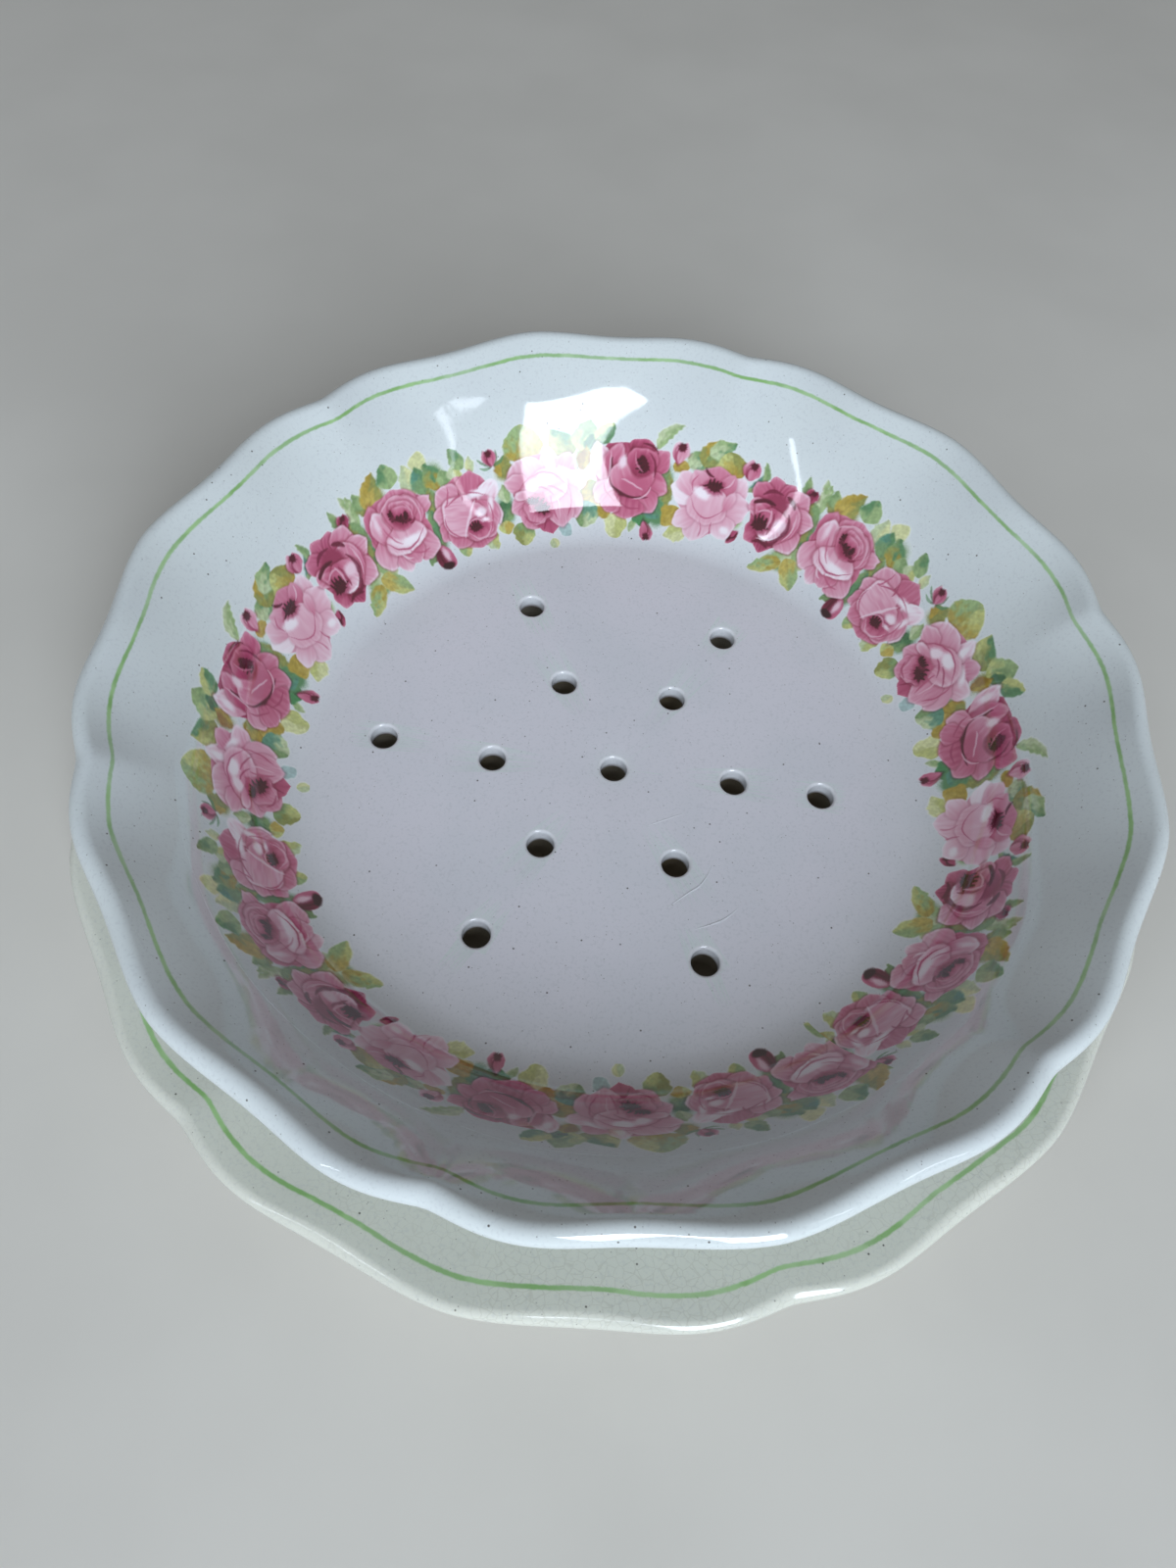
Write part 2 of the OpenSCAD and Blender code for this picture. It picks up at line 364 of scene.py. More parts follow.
cut = bowl.modifiers.new("pierce", "BOOLEAN")
cut.operation, cut.object, cut.solver = "DIFFERENCE", all_cutters, "EXACT"
cut.material_mode = "TRANSFER"
deselect_all()
bpy.context.view_layer.objects.active = bowl
bowl.select_set(True)
bpy.ops.object.modifier_apply(modifier="pierce")
bpy.data.objects.remove(spool)
bpy.data.objects.remove(all_cutters)
print("faces in the pierced bowl:", len(bowl.data.polygons))

# %% Shade the clay smooth
SMOOTH_ANGLE = 40


def shade_smooth(ob):
    deselect_all()
    ob.select_set(True)
    bpy.context.view_layer.objects.active = ob
    bpy.ops.object.shade_smooth_by_angle(angle=radians(SMOOTH_ANGLE))


shade_smooth(bowl)
shade_smooth(plate)
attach(bowl, "bowl")
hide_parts("colander_bowl")
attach(plate, "plate")
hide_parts("underplate")
print("the clay is shaded smooth up to", SMOOTH_ANGLE, "degrees")

# %% [markdown]
# ## The inks of the transfer
# The roses are a transfer print: ceramic inks on thin paper, slid on to the glaze and fired until they
# sink in. An image texture could hold such a print, but a picture is no design, and a plain noise pattern
# is no rose. So this lesson paints the garland as the engraver drew it, stroke by stroke, with a few soft
# brushes. The roses use one ramp of pinks, from near black to near white, and the leaves a palette of
# greens.


# %% Inks
def hex_rgb(code):
    """An sRGB hex colour as three numbers from 0 to 1, still as written."""
    return np.array([int(code[i:i + 2], 16) / 255 for i in (1, 3, 5)])


def to_linear(rgb):
    """sRGB numbers as the linear ones that a shader takes."""
    return np.where(rgb <= 0.04045, rgb / 12.92, ((rgb + 0.055) / 1.055) ** 2.4)


ROSE_RAMP = ((0.0, "#2C020E"), (0.14, "#560C24"), (0.3, "#8A2A4A"), (0.45, "#AF4A6C"), (0.58, "#C36986"),
             (0.7, "#D18AA1"), (0.82, "#DFACBD"), (0.92, "#ECD0DB"), (1.0, "#F3E8EE"))
RAMP_TONES = [tone for tone, _ in ROSE_RAMP]
RAMP_INKS = np.array([hex_rgb(code) for _, code in ROSE_RAMP])
LEAF_INKS = {name: hex_rgb(code) for name, code in dict(
    deep="#3E6E46", green="#5C8A5E", mid="#7E9C68", fresh="#9AB37C", pale="#BFCDA2", lime="#C0C57E",
    lemon="#D6D9A2", olive="#8E9250", ochre="#AE9740", gold="#BFAA56", brown="#93702F", teal="#588E78",
    aqua="#AFC8C6", vivid="#4A8C56").items()}


def ramp(tone):
    """Inks on the rose ramp, from tone 0, near black, to tone 1, near white."""
    return np.stack([np.interp(tone, RAMP_TONES, RAMP_INKS[:, k]) for k in range(3)], -1)


def ink(value):
    """One ink, by its leaf name or by its tone on the rose ramp."""
    return LEAF_INKS[value] if isinstance(value, str) else ramp(value)


print(len(LEAF_INKS), "leaf inks and a ramp of", len(ROSE_RAMP), "pinks")

# %% [markdown]
# ## The painter's sheet
# A sheet is a cloud of points with a place in millimetres, along the band and up the wall. A stroke finds
# the points near it, works out how far inside its shape each one lies, and lays its ink there with a soft
# edge. Smooth noise, seeded so that each run is the same, streaks the petals and wobbles their edges,
# because a ruled ellipse would look like plastic.


# %% The sheet and its noise
def lattice(x, y, seed):
    """Smooth noise from -1 to 1 whose lumps are about one unit across."""
    table = np.random.default_rng(seed).uniform(-1, 1, (256, 256))
    i, j = np.floor(x).astype(int), np.floor(y).astype(int)
    fx, fy = x - i, y - j
    fx, fy = fx * fx * (3 - 2 * fx), fy * fy * (3 - 2 * fy)
    corner = [table[(i + a) % 256, (j + b) % 256] for a in (0, 1) for b in (0, 1)]
    return mix(mix(corner[0], corner[1], fy), mix(corner[2], corner[3], fy), fx)


class Sheet:
    """Points of a print in mm, x along the band and y up the wall, with the ink that each has so far."""

    def __init__(self, x, y):
        self.x = x + 0.2 * lattice(x / 1.8, y / 1.8, 3)
        self.y = y + 0.2 * lattice(x / 1.8, y / 1.8, 4)
        self.rgb = np.ones((len(x), 3))
        self.cover = np.zeros(len(x))
        self.stipple = np.random.default_rng(11).uniform(-1, 1, len(x))
        self.origin = (0.0, 0.0)
        self.scale = 1.0
        self.crisp = 1.0

    def near(self, x, y, reach):
        """The points within reach of a place, with their offsets from it."""
        cx, cy = self.origin[0] + self.scale * x, self.origin[1] + self.scale * y
        dx, dy = (self.x - cx) / self.scale, (self.y - cy) / self.scale
        picked = np.flatnonzero((np.abs(dx) < reach) & (np.abs(dy) < reach))
        return picked, dx[picked], dy[picked]

    def lay(self, picked, share, colour):
        """Lays ink over points, with its soft edge broken a little into stipple."""
        share = np.clip(share + 0.5 * self.stipple[picked] * share * (1 - share), 0, 1)
        self.rgb[picked] = mix(self.rgb[picked], colour, share[:, None])
        self.cover[picked] = np.maximum(self.cover[picked], share)

    def shade(self, picked, share):
        """Darkens ink that is already there, as a petal in front does to those behind it."""
        share = np.clip(share, 0, 1) * self.cover[picked] * self.crisp
        self.rgb[picked] *= 1 - share[:, None] * np.array([0.5, 0.9, 0.78])


def rise(value):
    value = np.clip(value, 0, 1)
    return value * value * (3 - 2 * value)


def turned_by(dx, dy, turn):
    """Offsets across and along a direction, given in degrees anticlockwise from the right."""
    c, s = cos(radians(turn)), sin(radians(turn))
    return dy * c - dx * s, dx * c + dy * s


print("noise at one place:", round(float(lattice(np.array([0.5]), np.array([0.5]), 3)[0]), 3))

# %% [markdown]
# ## Brushes
# A mass fills a whole rose head, so that no gap shows between petals. A petal is an egg with a lip, and a
# patch is soft light or shadow. A line is a single hair of the brush, and a heart is a dark pool with a few
# of them combed out of it. A leaf has an ink on each side of its rib, and a bud is two petals wrapped round
# a dark heart.

# %% Brushes for petals
EGG = 0.22
CORNERED = 1.6
PETAL_SOFT = 0.5
PETAL_SHADOW = 0.34


def mass(sheet, radii, tone, drop):
    """A rose head through corners at equal turns, from its inner tone to one that is a drop darker."""
    picked, dx, dy = sheet.near(0, 0, 1.1 * max(radii))
    angle = np.arctan2(dy, dx) / (2 * pi) % 1 * len(radii)
    edge = np.interp(angle, range(len(radii) + 1), list(radii) + [radii[0]])
    scallop = 0.06 * np.abs(np.sin(pi * angle)) + 0.05 * lattice(angle * 1.5, 0 * angle, 7)
    r = np.hypot(dx, dy)
    inside = edge * (1 - scallop * 0.6) - r
    streak = lattice(angle * 5, r / 4, 6)
    tones = tone - drop * rise(r / edge) + 0.06 * streak + 0.06 * rise(1 - inside)
    sheet.lay(picked, rise(inside / PETAL_SOFT + 0.5), ramp(tones))


def petal(sheet, x, y, half_w, half_l, turn, base, lip, tip=0.3):
    """A petal that points along turn, from its base tone to its lip tone, over a shadow of its own."""
    picked, dx, dy = sheet.near(x, y, 1.4 * max(half_w, half_l) + 1)
    across, along = turned_by(dx, dy, turn)
    t = np.clip(along / half_l, -1.4, 1.4)
    width = half_w * (1 + EGG * t) * (1 - tip * np.clip(t, 0, 1) ** 3)
    ruffle = 0.08 * lattice(np.arctan2(across, along) * 1.9 + 3 * x, y + 0 * along, 5)
    power = 2 if tip == 0 else CORNERED
    reach = (np.abs(across / width) ** power + np.abs(t) ** power) ** (1 / power)
    inside = (1.03 - reach - ruffle) * min(half_w, half_l)
    sheet.shade(picked, PETAL_SHADOW * rise(1 + inside / 0.9))
    share = rise((t + 1) / 2)
    streak = lattice(across / 0.55 + 9 * x, along / 4 + y, 6)
    rim = share * np.exp(-((inside - 0.35) / 0.4) ** 2)
    tones = mix(base, lip, share) + sheet.crisp * (0.07 * streak + 0.11 * rim)
    sheet.lay(picked, rise(inside / PETAL_SOFT + 0.5), ramp(tones))


print("brushes for petals:", mass.__name__, "and", petal.__name__)


# %% Brushes for lights, lines and hearts
def patch(sheet, x, y, half_w, half_l, turn, colour, soft=1.2, torn=0.0, strength=1.0):
    """A soft patch of one ink. A torn one runs out in streaks."""
    picked, dx, dy = sheet.near(x, y, 1.7 * max(half_w, half_l) + soft)
    across, along = turned_by(dx, dy, turn)
    q = np.hypot(across / half_w, along / half_l)
    angle = np.arctan2(across, along)
    q = q + torn * lattice(4.5 * np.cos(angle) + x, 4.5 * np.sin(angle) + y, 8) * np.clip(q, 0, 1.4)
    sheet.lay(picked, strength * rise((1 - q) * min(half_w, half_l) / soft + 0.5), ink(colour))


def line(sheet, x0, y0, x1, y1, bow, width, colour, strength=0.85):
    """A thin brush line from one place to another, bowed to its left, finest at its ends."""
    length = hypot(x1 - x0, y1 - y0)
    picked, dx, dy = sheet.near((x0 + x1) / 2, (y0 + y1) / 2, length / 2 + abs(bow) + width + 0.5)
    across, along = turned_by(dx, dy, degrees(atan2(y1 - y0, x1 - x0)))
    t = np.clip(2 * along / length, -1, 1)
    off = np.abs(across - bow * (1 - t * t))
    half = width / 2 * (1 - t * t) ** 0.5
    soft = 0.4 + 0.35 * max(0, width - 0.8)
    sheet.lay(picked, strength * rise((half - off) / soft + 0.5) * (np.abs(t) < 1), ink(colour))


def heart(sheet, x, y, half_w, half_l, turn):
    """The dark heart of a rose: a pool of crimson, with short strokes combed out of one side."""
    patch(sheet, x, y, 1.5 * half_w, 1.3 * half_l, turn, 0.36, 1.4, 0.15, 0.75)
    patch(sheet, x, y, 0.9 * half_w, half_l, turn, 0.1, 0.5, 0.3, 1.0)
    c, s = cos(radians(turn)), sin(radians(turn))
    for k, reach in ((-0.62, 1.3), (-0.18, 1.7), (0.24, 1.45), (0.64, 1.2)):
        root_x, root_y = x + c * k * half_l, y + s * k * half_l
        tip_x, tip_y = root_x - s * reach * half_w, root_y + c * reach * half_w
        line(sheet, root_x, root_y, tip_x + 0.3 * c * k, tip_y + 0.3 * s * k, 0.15, 0.7, 0.06, 1.0)


print("brushes for what lies on them:", patch.__name__, line.__name__, "and", heart.__name__)


# %% Brushes for leaves and buds
LEAF_FULL, LEAF_POINT = 1.16, 0.35
VEIN_MM = 1.3


def leaf(sheet, x, y, half_w, half_l, turn, left, right, foot=None, bow=0.0, blunt=0.3):
    """A leaf that points along turn, in one ink each side of its rib, and a third towards its foot."""
    picked, dx, dy = sheet.near(x, y, 1.3 * max(half_w, half_l) + abs(bow) + 1)
    across, along = turned_by(dx, dy, turn)
    t = np.clip(along / half_l, -1, 1)
    across = across - bow * (1 - t * t)
    point = 1 - LEAF_POINT * (1 - blunt) * np.clip(t, 0, 1) ** 2
    edge = LEAF_FULL * half_w * (1 - t * t) ** mix(0.8, 0.5, blunt) * (1 - 0.2 * t) * point
    edge += 0.35 * lattice(along / 0.9 + x, np.sign(across) + y, 12) + 0.05
    blotch = 0.6 * lattice(along / 1.5 + x, across / 1.0 + y, 9)
    side = rise(across / 1.6 + 0.5 + blotch)[:, None]
    colour = mix(ink(right), ink(left), side)
    if foot is not None:
        colour = mix(colour, ink(foot), (0.9 * rise(0.3 - t + blotch))[:, None])
    rib = np.exp(-(across / 0.22) ** 2)
    veins = np.cos((along - 0.8 * np.abs(across)) * 2 * pi / VEIN_MM)
    tone = 1 - 0.08 * rib + 0.015 * veins + 0.07 * lattice(along / 0.7, across / 0.5, 10)
    share = rise((edge - np.abs(across)) / 0.9 + 0.5) * (np.abs(t) < 1)
    sheet.lay(picked, share, colour * tone[:, None])


def bud(sheet, x, y, half_w, half_l, turn, tone, sepals=False):
    """A rosebud: two petals wrapped round a dark heart that shows at its tip."""
    c, s = cos(radians(turn)), sin(radians(turn))
    foot_x, foot_y = x - c * half_l, y - s * half_l
    for swing, reach in ((-62, 4.4), (-28, 5.0), (12, 5.8), (40, 5.2), (75, 3.8)) if sepals else ():
        a = radians(turn + swing)
        bow = 0.5 if swing > 0 else -0.5
        line(sheet, foot_x, foot_y, foot_x + reach * cos(a), foot_y + reach * sin(a), bow, 1.0, "green")
    for aside, swing, base, lip in ((0.35, 8, tone - 0.1, tone + 0.14), (-0.2, -6, tone + 0.1, tone)):
        petal_x, petal_y = x - aside * half_w * s, y + aside * half_w * c
        petal(sheet, petal_x, petal_y, 0.8 * half_w, half_l, turn + swing, base, lip)
    line(sheet, foot_x, foot_y, x + 0.6 * half_l * c, y + 0.6 * half_l * s, 0.5 * half_w, 0.5, tone - 0.25)
    tip_x, tip_y = x + 0.5 * half_l * c, y + 0.5 * half_l * s
    patch(sheet, tip_x, tip_y, 0.4 * half_l, 0.5 * half_w, turn + 90, 0.12, 0.7, 0.2)


print("brushes for green:", leaf.__name__, bud.__name__)

# %% [markdown]
# ## Six roses
# A rose garland of this old kind repeats a few roses in turn: a full blown one, one that is still a
# bud, a hooded one. Each is a list of strokes round its own middle, laid from the back petals to the
# front ones. A petal's numbers are its place, half width and half length in millimetres, the way that it
# points, and the tones of its base and its lip.

# %% Two pale roses
ROSES = {}
ROSES["pale"] = (
    (mass, (12, 12, 11.5, 12, 11.4, 12.4, 11.8, 8.6, 11, 11.2, 8.8, 11), 0.82, 0.04),
    (petal, -8.6, 2.6, 4.4, 5.2, 165, 0.94, 1.0), (petal, -8.0, 5.4, 3.4, 4.6, 130, 0.74, 0.88),
    (petal, 7.6, 7.0, 3.4, 4.8, 70, 0.74, 0.9), (petal, 8.6, 1.6, 4.6, 4.8, 15, 0.76, 0.88),
    (petal, 6.2, -5.2, 4.2, 4.4, -60, 0.76, 0.92), (petal, -2.6, -6.4, 5.0, 6.0, -95, 0.76, 0.88),
    (petal, -6.8, -5.4, 3.4, 4.6, 215, 0.74, 0.9), (petal, 0.6, 8.2, 5.4, 4.8, 95, 0.52, 0.66),
    (petal, 4.2, 7.6, 2.6, 4.4, 70, 0.54, 0.68), (petal, -4.4, 7.2, 2.8, 3.8, 130, 0.62, 0.78),
    (petal, -0.4, 0.6, 6.3, 6.6, -95, 0.84, 0.8, 0.0), (patch, -3.4, 3.4, 1.7, 3.0, -15, 1.0, 1.6),
    (line, 6.2, 7.4, 4.6, -0.6, 1.4, 0.7, 0.6), (petal, 6.2, 2.8, 1.7, 3.6, 75, 0.66, 0.8),
    (patch, 7.6, -6.2, 1.5, 1.3, 80, 1.0, 1.4), (heart, 0.3, 6.4, 1.7, 2.7, 0),
    (line, -3.6, 12.0, -0.4, 9.4, -0.7, 1.0, 0.12), (line, -6.6, 1.6, 5.4, 0.6, -5.2, 0.5, 0.5),
    (line, -1.6, -5.4, -0.8, -10.6, 0.6, 0.4, 0.54), (line, 2.4, -4.6, 3.4, -9.4, -0.5, 0.4, 0.5),
    (line, 3.4, 6.6, 5.8, 10.6, -0.5, 0.5, 0.86), (line, -5.6, 8.8, -6.4, 3.2, -0.8, 0.5, 0.52),
)
ROSES["open"] = (
    (mass, (9.6, 11.2, 12, 12, 11.2, 9.6, 10, 10.4, 10.8, 11.4, 10.8, 9.8), 0.66, 0.1),
    (petal, 3.0, 7.6, 4.8, 5.0, 80, 0.56, 0.6, 0.7), (petal, -5.2, 6.4, 4.4, 4.2, 125, 0.64, 0.78),
    (petal, -8.0, 1.2, 3.2, 3.6, 165, 0.6, 0.76), (petal, -7.4, -3.6, 3.4, 4.2, 215, 0.5, 0.68),
    (petal, 8.0, 4.0, 3.4, 5.2, 45, 0.8, 0.96), (petal, 8.2, -1.4, 3.2, 5.6, 290, 0.66, 0.86),
    (petal, 1.2, -8.6, 6.0, 3.6, -90, 0.46, 0.6), (petal, -4.6, -6.2, 4.4, 4.8, -130, 0.5, 0.66),
    (petal, 3.4, -3.0, 7.0, 6.8, -60, 0.6, 0.7), (petal, -1.6, -1.0, 6.4, 7.4, 165, 0.72, 0.8, 0.0),
    (patch, 5.2, 5.0, 1.3, 4.4, 8, 1.0, 1.4), (patch, 8.4, 0.6, 2.6, 1.0, -10, 0.97, 1.3),
    (line, -6.8, 3.6, 7.4, 3.8, 2.0, 0.5, 0.44), (line, -1.2, 8.4, -0.6, 3.8, 0.4, 0.6, 0.4),
    (petal, 2.6, -5.8, 4.6, 3.8, -80, 0.38, 0.6, 0.0), (line, -1.8, -6.2, 7.0, -5.6, -3.6, 0.6, 0.84),
    (heart, 1.5, -5.3, 1.5, 2.2, 10), (line, -1.0, -4.2, 4.6, -4.6, 1.6, 0.6, 0.78),
    (line, -3.4, -7.4, 3.6, 3.0, 0.2, 0.9, 0.92), (patch, 4.4, -1.2, 1.3, 2.0, 15, 0.96, 1.3),
    (patch, 5.6, -3.8, 0.6, 1.4, 0, 0.94, 0.9), (line, 7.6, 1.2, 6.0, -7.8, 1.4, 0.5, 0.5),
    (line, -8.0, 0.6, -4.6, -7.0, -1.4, 0.6, 0.44), (line, -4.2, 9.6, -6.8, 3.6, 0.6, 0.5, 0.5),
)
print("strokes:", {name: len(strokes) for name, strokes in ROSES.items()})

# %% The spiral rose and the full one
ROSES["spiral"] = (
    (mass, (10, 10.4, 9.6, 11.6, 11.8, 10.4, 9.2, 9.2, 10.8, 11, 8.8, 10.4), 0.6, 0.12),
    (petal, -3.6, 9.0, 3.2, 3.6, 105, 0.4, 0.6), (petal, 0.6, 8.8, 2.6, 3.4, 70, 0.4, 0.56),
    (petal, -6.8, 6.0, 3.4, 4.2, 140, 0.36, 0.6), (petal, 4.0, 6.6, 4.0, 4.8, 55, 0.46, 0.72),
    (petal, 6.4, 2.0, 4.4, 5.2, 10, 0.52, 0.76), (petal, 5.4, -4.6, 4.4, 5.2, -45, 0.5, 0.78),
    (petal, -6.6, 1.4, 3.2, 4.0, 190, 0.46, 0.68), (petal, -5.2, -6.6, 3.8, 4.2, -125, 0.36, 0.56),
    (petal, -1.2, -8.6, 3.4, 3.6, -85, 0.26, 0.44), (line, -4.8, -9.6, 1.2, -9.8, 0.8, 1.2, 0.16),
    (petal, 2.6, -0.6, 5.2, 7.4, 80, 0.52, 0.7), (patch, -2.4, 1.8, 4.6, 5.6, 60, 0.34, 1.8),
    (line, -8.8, 2.2, -1.6, 3.8, 0.8, 1.9, 0.1), (line, -7.0, 5.6, -0.6, 7.6, 1.2, 1.3, 0.22),
    (line, 0.6, 7.8, 4.2, 4.8, 0.6, 1.6, 0.16), (petal, -4.6, 0.6, 2.6, 3.4, 160, 0.36, 0.6),
    (petal, -0.6, -2.2, 5.4, 5.0, -60, 0.5, 0.86, 0.0), (line, -6.6, -0.4, -1.8, 1.0, 0.8, 0.7, 0.8),
    (heart, -4.4, -3.8, 2.2, 2.8, 10), (line, -2.4, 1.8, -2.0, -4.6, 0.4, 0.7, 0.82),
    (line, -1.2, 1.4, -1.0, -6.2, 0.4, 0.9, 0.3), (line, 3.0, 3.0, 0.8, -7.6, 2.6, 1.3, 0.2),
    (line, 5.2, 4.0, 4.6, -5.8, 1.3, 0.5, 0.86), (line, 6.8, 4.0, 6.6, -4.4, 1.0, 0.5, 0.44),
    (line, -1.6, -8.8, 3.4, -6.0, -1.0, 1.1, 0.2), (patch, 1.8, -1.8, 2.2, 2.0, 90, 0.9, 1.6),
)
ROSES["full"] = (
    (mass, (9.2, 12, 11.8, 11.8, 12.4, 11.4, 11.2, 11.6, 11.2, 12, 11.2, 11), 0.66, 0.06),
    (petal, -7.8, 4.8, 3.0, 6.4, 80, 0.5, 0.6), (petal, 8.8, 3.8, 3.0, 4.4, 30, 0.52, 0.78, 0.8),
    (petal, -7.2, -4.4, 4.8, 6.0, -115, 0.62, 0.8), (petal, -3.6, -9.6, 3.0, 3.6, -95, 0.66, 0.84),
    (petal, 4.8, -7.2, 5.0, 6.2, -35, 0.56, 0.76), (petal, 0.6, -7.2, 4.0, 5.0, -85, 0.5, 0.7),
    (petal, -5.4, 2.2, 3.8, 6.8, 100, 0.62, 0.82), (petal, 1.8, 7.4, 6.2, 4.8, 85, 0.56, 0.64),
    (petal, 2.4, 3.2, 6.8, 6.4, 70, 0.6, 0.66), (petal, 0.2, -2.8, 7.2, 4.8, -85, 0.72, 0.86, 0.0),
    (patch, 1.6, -4.6, 1.5, 4.8, 2, 1.0, 1.6), (patch, -3.6, -3.0, 1.2, 2.6, -35, 0.94, 1.4),
    (patch, -6.8, 4.6, 0.8, 3.2, 85, 0.92, 1.2), (petal, 1.6, 4.6, 5.4, 5.2, 75, 0.54, 0.68, 0.0),
    (petal, 1.8, 4.4, 4.2, 4.0, 70, 0.46, 0.66, 0.0), (petal, 1.6, 4.0, 3.0, 3.0, 60, 0.34, 0.62, 0.0),
    (heart, -1.2, 4.8, 0.9, 1.9, 100), (heart, 1.4, 2.4, 1.1, 2.6, -30), (heart, 3.2, 3.0, 0.7, 1.3, 80),
    (line, -4.4, 7.0, 4.0, 9.6, 1.5, 0.5, 0.84), (line, -5.6, 3.0, -1.6, -4.6, -0.8, 0.5, 0.52),
    (line, -7.4, -0.8, 7.2, -2.6, -4.8, 0.6, 0.42), (line, -3.8, -5.8, -0.4, -9.8, -1.0, 0.6, 0.92),
    (line, 6.2, 7.6, 6.8, -0.8, 1.3, 0.5, 0.84), (line, 3.6, 6.8, 4.8, 1.0, 1.0, 0.45, 0.8),
    (line, 3.4, 0.2, 6.0, 1.4, -0.5, 0.8, 0.26), (line, -0.6, -7.2, 6.6, -9.6, -0.9, 0.6, 0.5),
)
print("strokes:", {name: len(strokes) for name, strokes in ROSES.items()})

# %% The hooded rose and the cup
ROSES["hooded"] = (
    (mass, (10.6, 12.2, 11.8, 12.6, 13, 12.2, 11.2, 10.8, 11.4, 13.2, 11.2, 10.4), 0.68, 0.06),
    (petal, 1.8, 9.8, 2.6, 5.0, 95, 0.74, 0.92), (petal, 7.0, 8.4, 3.2, 3.8, 65, 0.6, 0.76),
    (petal, -6.0, 7.2, 6.0, 4.8, 105, 0.6, 0.86), (petal, -8.8, 3.6, 3.4, 4.6, 160, 0.62, 0.8),
    (petal, 9.8, 2.8, 3.4, 4.6, 35, 0.76, 0.88), (petal, 7.6, -3.4, 4.4, 6.4, -70, 0.68, 0.8),
    (petal, -8.0, -3.0, 4.0, 4.8, 200, 0.56, 0.76), (petal, -5.8, -7.4, 4.2, 4.4, -130, 0.54, 0.7),
    (petal, -0.2, -9.8, 4.2, 4.2, -80, 0.4, 0.5, 0.8), (petal, 4.2, -5.2, 5.0, 6.2, -85, 0.64, 0.76),
    (patch, 1.6, 9.6, 1.2, 3.6, 97, 1.0, 1.3), (patch, 6.8, 5.8, 1.3, 3.2, 150, 1.0, 1.3),
    (petal, -0.6, 1.8, 5.2, 8.0, 15, 0.68, 0.78, 0.0), (patch, 0.4, 4.2, 2.0, 2.8, 0, 1.0, 1.6),
    (patch, -4.2, 2.4, 1.6, 2.8, 40, 0.96, 1.4), (line, -2.4, 2.0, 2.6, -1.2, 0.5, 0.5, 0.36),
    (line, 0.6, 2.0, 6.4, -1.4, 0.5, 0.5, 0.38), (line, -9.4, 1.0, 8.0, 0.2, 5.8, 0.6, 0.46),
    (petal, -7.6, -0.2, 1.6, 3.4, 180, 0.66, 0.84), (petal, -3.4, -5.0, 4.6, 5.2, -110, 0.5, 0.68),
    (heart, -2.4, -4.6, 1.9, 3.2, -42), (heart, -4.6, -2.8, 1.0, 2.2, -10),
    (line, 1.6, -1.2, 3.0, -9.4, -0.6, 0.6, 0.48), (line, 3.4, -1.4, 3.8, -9.0, 0.4, 0.5, 0.86),
    (line, 8.0, 0.8, 6.6, -8.6, 0.9, 0.5, 0.46), (line, -7.8, -7.6, -1.0, -7.8, -1.8, 0.5, 0.78),
    (line, -8.6, -6.6, -3.6, -9.6, -0.8, 0.6, 0.4), (line, 0.4, -8.0, -2.4, -12.0, -0.6, 0.6, 0.3),
)
ROSES["cup"] = (
    (mass, (11.2, 11.8, 12.8, 11.4, 12.6, 11.8, 10.2, 9.6, 11.2, 12, 12, 11.6), 0.54, 0.08),
    (petal, -7.8, 4.0, 3.6, 6.8, 105, 0.7, 0.88), (patch, -9.2, 6.0, 1.0, 3.2, 80, 0.98, 1.2),
    (petal, -4.6, 4.6, 3.0, 6.8, 70, 0.44, 0.64), (petal, -6.6, -4.4, 3.8, 4.8, 230, 0.62, 0.76),
    (petal, 4.6, 9.4, 4.6, 3.6, 75, 0.26, 0.46), (petal, 8.8, 5.0, 3.8, 5.8, 55, 0.4, 0.6),
    (petal, 8.6, -1.4, 4.0, 5.2, -20, 0.44, 0.64), (petal, 7.0, -6.4, 4.0, 4.8, -55, 0.48, 0.66),
    (petal, 0.4, -9.0, 6.2, 4.0, -90, 0.44, 0.58), (petal, -4.6, -8.0, 3.6, 3.8, -125, 0.5, 0.62),
    (line, -4.8, 6.6, 7.6, -5.8, -5.8, 2.2, 0.1), (petal, 2.3, 0.6, 6.9, 6.2, 110, 0.52, 0.72, 0.0),
    (patch, 3.0, -2.2, 3.0, 4.6, 5, 0.52, 2.6), (patch, -1.4, 5.2, 1.2, 2.2, 70, 0.94, 1.3),
    (petal, 4.8, 5.2, 4.4, 4.8, 80, 0.32, 0.54, 0.0), (heart, 5.2, 4.6, 1.8, 3.0, 110),
    (line, 2.4, 8.6, 5.4, 2.0, -1.1, 0.6, 0.66), (line, -1.6, -0.4, 5.8, -3.6, 0.2, 0.6, 0.86),
    (line, 2.4, -6.8, 8.4, -1.8, -1.5, 0.6, 0.84), (line, -5.4, 8.4, -6.2, -1.8, 0.4, 0.6, 0.86),
    (line, 6.8, 8.6, 8.8, 0.8, 1.1, 0.7, 0.22), (line, 4.2, 11.4, 9.6, 8.6, 0.8, 0.8, 0.16),
    (line, -7.4, -1.6, -3.2, -7.6, -1.0, 0.6, 0.42), (line, -2.0, -7.2, 5.4, -9.4, -1.4, 0.6, 0.4),
)
print("strokes:", {name: len(strokes) for name, strokes in ROSES.items()})

# %% [markdown]
# ## One length of garland
# A length holds the six roses with leaves behind and buds between. Its leaves follow the print's colours:
# sage and teal in the shade, lime and ochre where the light falls. The last rose laps over the joint to
# the next length, as on a real transfer, so each length also gets the ends of its neighbours, and
# all the leaves come before all the roses.

